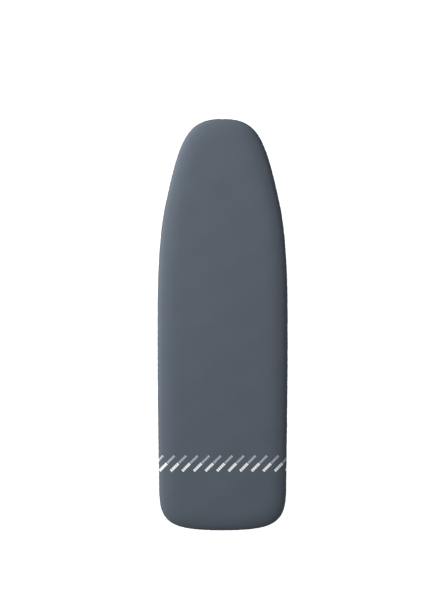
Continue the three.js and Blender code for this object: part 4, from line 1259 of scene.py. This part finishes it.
# ------------------------------------------------------------------ clamp rod and spring
rod_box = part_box("clamp_rod")
rod_ends = (rod_box[0].y / MM, rod_box[1].y / MM)
along_y = Matrix.Translation((0, 0, PIVOT[1])) @ Matrix.Rotation(-math.pi / 2, 4, "X")
rod = merged("clamp_rod_ground", [turned(
    [(0, rod_ends[0]), (3.2, rod_ends[0]), (4, rod_ends[0] + 0.8), (4, rod_ends[1] - 0.8),
     (3.2, rod_ends[1]), (0, rod_ends[1])], along_y, 40)], rod_steel, 30)
finish(rod, "carriage", "clamp_rod")
stop_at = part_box("rod_stop")[0].y / MM
stop = merged("rod_stop_turned", [turned(
    [(4.2, stop_at), (6.9, stop_at), (7.5, stop_at + 0.6), (7.5, stop_at + 1.6), (7.1, stop_at + 2),
     (7.1, stop_at + 3), (7.5, stop_at + 3.4), (7.5, stop_at + 4.4), (6.9, stop_at + 5),
     (4.2, stop_at + 5)], along_y, 40)], charcoal, 40)
finish(stop, "carriage", "rod_stop")

spring_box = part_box("clamp_spring")
coil_start, coil_end = spring_box[0].y / MM + 0.85, spring_box[1].y / MM - 0.85
TURNS, COIL_R, WIRE = 7, 7.2, 0.78


def coil(t):
    turn = 2 * math.pi * (TURNS * t - 0.25)
    # closed at both ends, open between
    eased = min(1.0, max(0.0, (t * TURNS - 0.8) / (TURNS - 1.6)))
    pitch = 0.12 * min(1.0, t * TURNS / 0.8) + 0.12 * max(0.0, (t * TURNS - TURNS + 0.8) / 0.8)
    share = pitch * (1.7 / 4.8) + eased * (1 - 2 * 0.12 * 1.7 / 4.8)
    return Vector((COIL_R * math.cos(turn), coil_start + (coil_end - coil_start) * share,
                   PIVOT[1] + COIL_R * math.sin(turn)))


coil_points = []
coil_faces = []
steps = TURNS * 40
for i in range(steps + 1):
    t = i / steps
    here = coil(t)
    along = (coil(min(1.0, t + 0.001)) - coil(max(0.0, t - 0.001))).normalized()
    out = Vector((here.x, 0, here.z - PIVOT[1])).normalized()
    side_way = along.cross(out).normalized()
    out = side_way.cross(along)
    for k in range(12):
        turn = 2 * math.pi * k / 12
        coil_points.append(tuple(here + out * (WIRE * math.cos(turn))
                                 + side_way * (WIRE * math.sin(turn))))
for i in range(steps):
    for k in range(12):
        m = (k + 1) % 12
        coil_faces.append((i * 12 + k, i * 12 + m, (i + 1) * 12 + m, (i + 1) * 12 + k))
coil_faces.append(tuple(range(11, -1, -1)))
coil_faces.append(tuple(steps * 12 + k for k in range(12)))
spring = from_lists("clamp_spring_coiled", coil_points, coil_faces, bright_steel)
face_outwards(spring)
finish(spring, "board", "clamp_spring")
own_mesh(spring)

# ------------------------------------------------------------------ lever grip
grip_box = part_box("lever_grip")
gx0, gy0, gz0 = (c / MM for c in grip_box[0])
gx1, gy1, gz1 = (c / MM for c in grip_box[1])
grip_points = []
grip_faces = []
STATIONS, GRIP_SIDES = 72, 48
SQUARENESS = 3.2  # 2 would be round
for i in range(STATIONS + 1):
    t = i / STATIONS
    x = gx0 + (gx1 - gx0) * t
    near = min(t, 1 - t) * (gx1 - gx0)
    round_off = math.sqrt(max(0.0, 1 - (1 - min(1.0, near / 5.0)) ** 2))
    swell = 0.86 + 0.14 * math.sin(math.pi * min(1.0, t * 1.05 + 0.12)) ** 0.6
    ridge = 0.0
    if 0.24 < t < 0.86:
        ridge = 0.35 * (0.5 - 0.5 * math.cos(2 * math.pi * (x - gx0) / 4.6))
    for k in range(GRIP_SIDES):
        turn = 2 * math.pi * k / GRIP_SIDES
        across, upward = math.cos(turn), math.sin(turn)
        shape = (abs(across) ** SQUARENESS + abs(upward) ** SQUARENESS) ** (-1 / SQUARENESS)
        half_y = ((gy1 - gy0) / 2 * swell - 5) + 5 * (0.25 + 0.75 * round_off) - ridge
        half_z = ((gz1 - gz0) / 2 * swell - 5) + 5 * (0.25 + 0.75 * round_off) - ridge
        grip_points.append((x, (gy0 + gy1) / 2 + across * shape * half_y,
                            (gz0 + gz1) / 2 + upward * shape * half_z))
for i in range(STATIONS):
    for k in range(GRIP_SIDES):
        m = (k + 1) % GRIP_SIDES
        grip_faces.append((i * GRIP_SIDES + k, (i + 1) * GRIP_SIDES + k, (i + 1) * GRIP_SIDES + m,
                           i * GRIP_SIDES + m))
grip_faces.append(tuple(range(GRIP_SIDES)))
grip_faces.append(tuple(STATIONS * GRIP_SIDES + k for k in range(GRIP_SIDES - 1, -1, -1)))
grip = from_lists("lever_grip_ridged", grip_points, grip_faces, charcoal)
face_outwards(grip)
grip.data.set_sharp_from_angle(angle=math.radians(60))
finish(grip, "lever", "lever_grip")

# ------------------------------------------------------------------ welds
for hand in (-1, 1):
    for member_y in (-300.0, (48.1 - 28.9) / 2, 402.0):
        for edge in (-20.2, 20.2):
            y = member_y + edge
            if y > 421:
                continue
            weld_lines["board"].append([(hand * 62.5, y, 877.5), (hand * 79.5, y, 877.5)])
beads = beads_tree()
for body, runs in weld_lines.items():
    piece = lines(f"weld_beads_{body}", runs)
    grow(piece, beads, {"Bead pitch": 1.5 * MM, "Bead size": (2.6 * MM, 2.9 * MM, 2.2 * MM),
                        "Seed": 5}, frame_coat if body == "board" else leg_coat)
    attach(piece, body)

# ------------------------------------------------------------------ stage, camera, light
def glowing_paper(name, hex_code, glow):
    """White studio paper, lit from its own side as well."""
    material, _, shader = blank_material(name)
    shader.inputs["Base Color"].default_value = colour(hex_code)
    shader.inputs["Emission Color"].default_value = (1, 1, 1, 1)
    shader.inputs["Emission Strength"].default_value = glow
    shader.inputs["Roughness"].default_value = 1.0
    return material


FLOOR_HALF = 9000
floor = from_lists("floor", [(x * FLOOR_HALF, y * FLOOR_HALF, 0)
                             for x, y in ((-1, -1), (1, -1), (1, 1), (-1, 1))],
                   [(0, 1, 2, 3)], glowing_paper("studio_floor_white", "#a0a0a0", 0.8),
                   smooth=False)
dome_points, dome_faces = lathe([(11000, -400), (11000, 3000), (9500, 6500), (5500, 9500),
                                 (0, 10500)], 48)
backdrop = from_lists("backdrop", dome_points, [face[::-1] for face in dome_faces],
                      glowing_paper("studio_backdrop_white", "#a0a0a0", 0.8))
backdrop.visible_diffuse = False
backdrop.visible_glossy = False
backdrop.visible_shadow = False

camera = bpy.data.objects.new("camera", bpy.data.cameras.new("camera"))
bpy.context.scene.collection.objects.link(camera)
camera.location = (-0.015, 0.063, 5.058)
camera.data.lens = 85
camera.data.sensor_width = 36
bpy.context.scene.camera = camera

world = bpy.data.worlds.new("studio")
bpy.context.scene.world = world
world.use_nodes = True
background = world.node_tree.nodes["Background"]
background.inputs["Color"].default_value = (1, 1, 1, 1)
background.inputs["Strength"].default_value = 0.3


def soft_light(name, place, target, size, power):
    lamp = bpy.data.objects.new(name, bpy.data.lights.new(name, "AREA"))
    bpy.context.scene.collection.objects.link(lamp)
    lamp.data.shape = "DISK"
    lamp.data.size = size
    lamp.data.energy = power
    lamp.location = place
    lamp.rotation_euler = (Vector(target) - Vector(place)).to_track_quat("-Z", "Y").to_euler()
    return lamp


soft_light("key", (-3.2, 1.9, 2.35), (0, 0, 0.8), 1.6, 298)
soft_light("fill", (2.6, -2.0, 0.9), (0, 0, 0.4), 2.4, 9)
bpy.context.scene.view_settings.view_transform = "Standard"
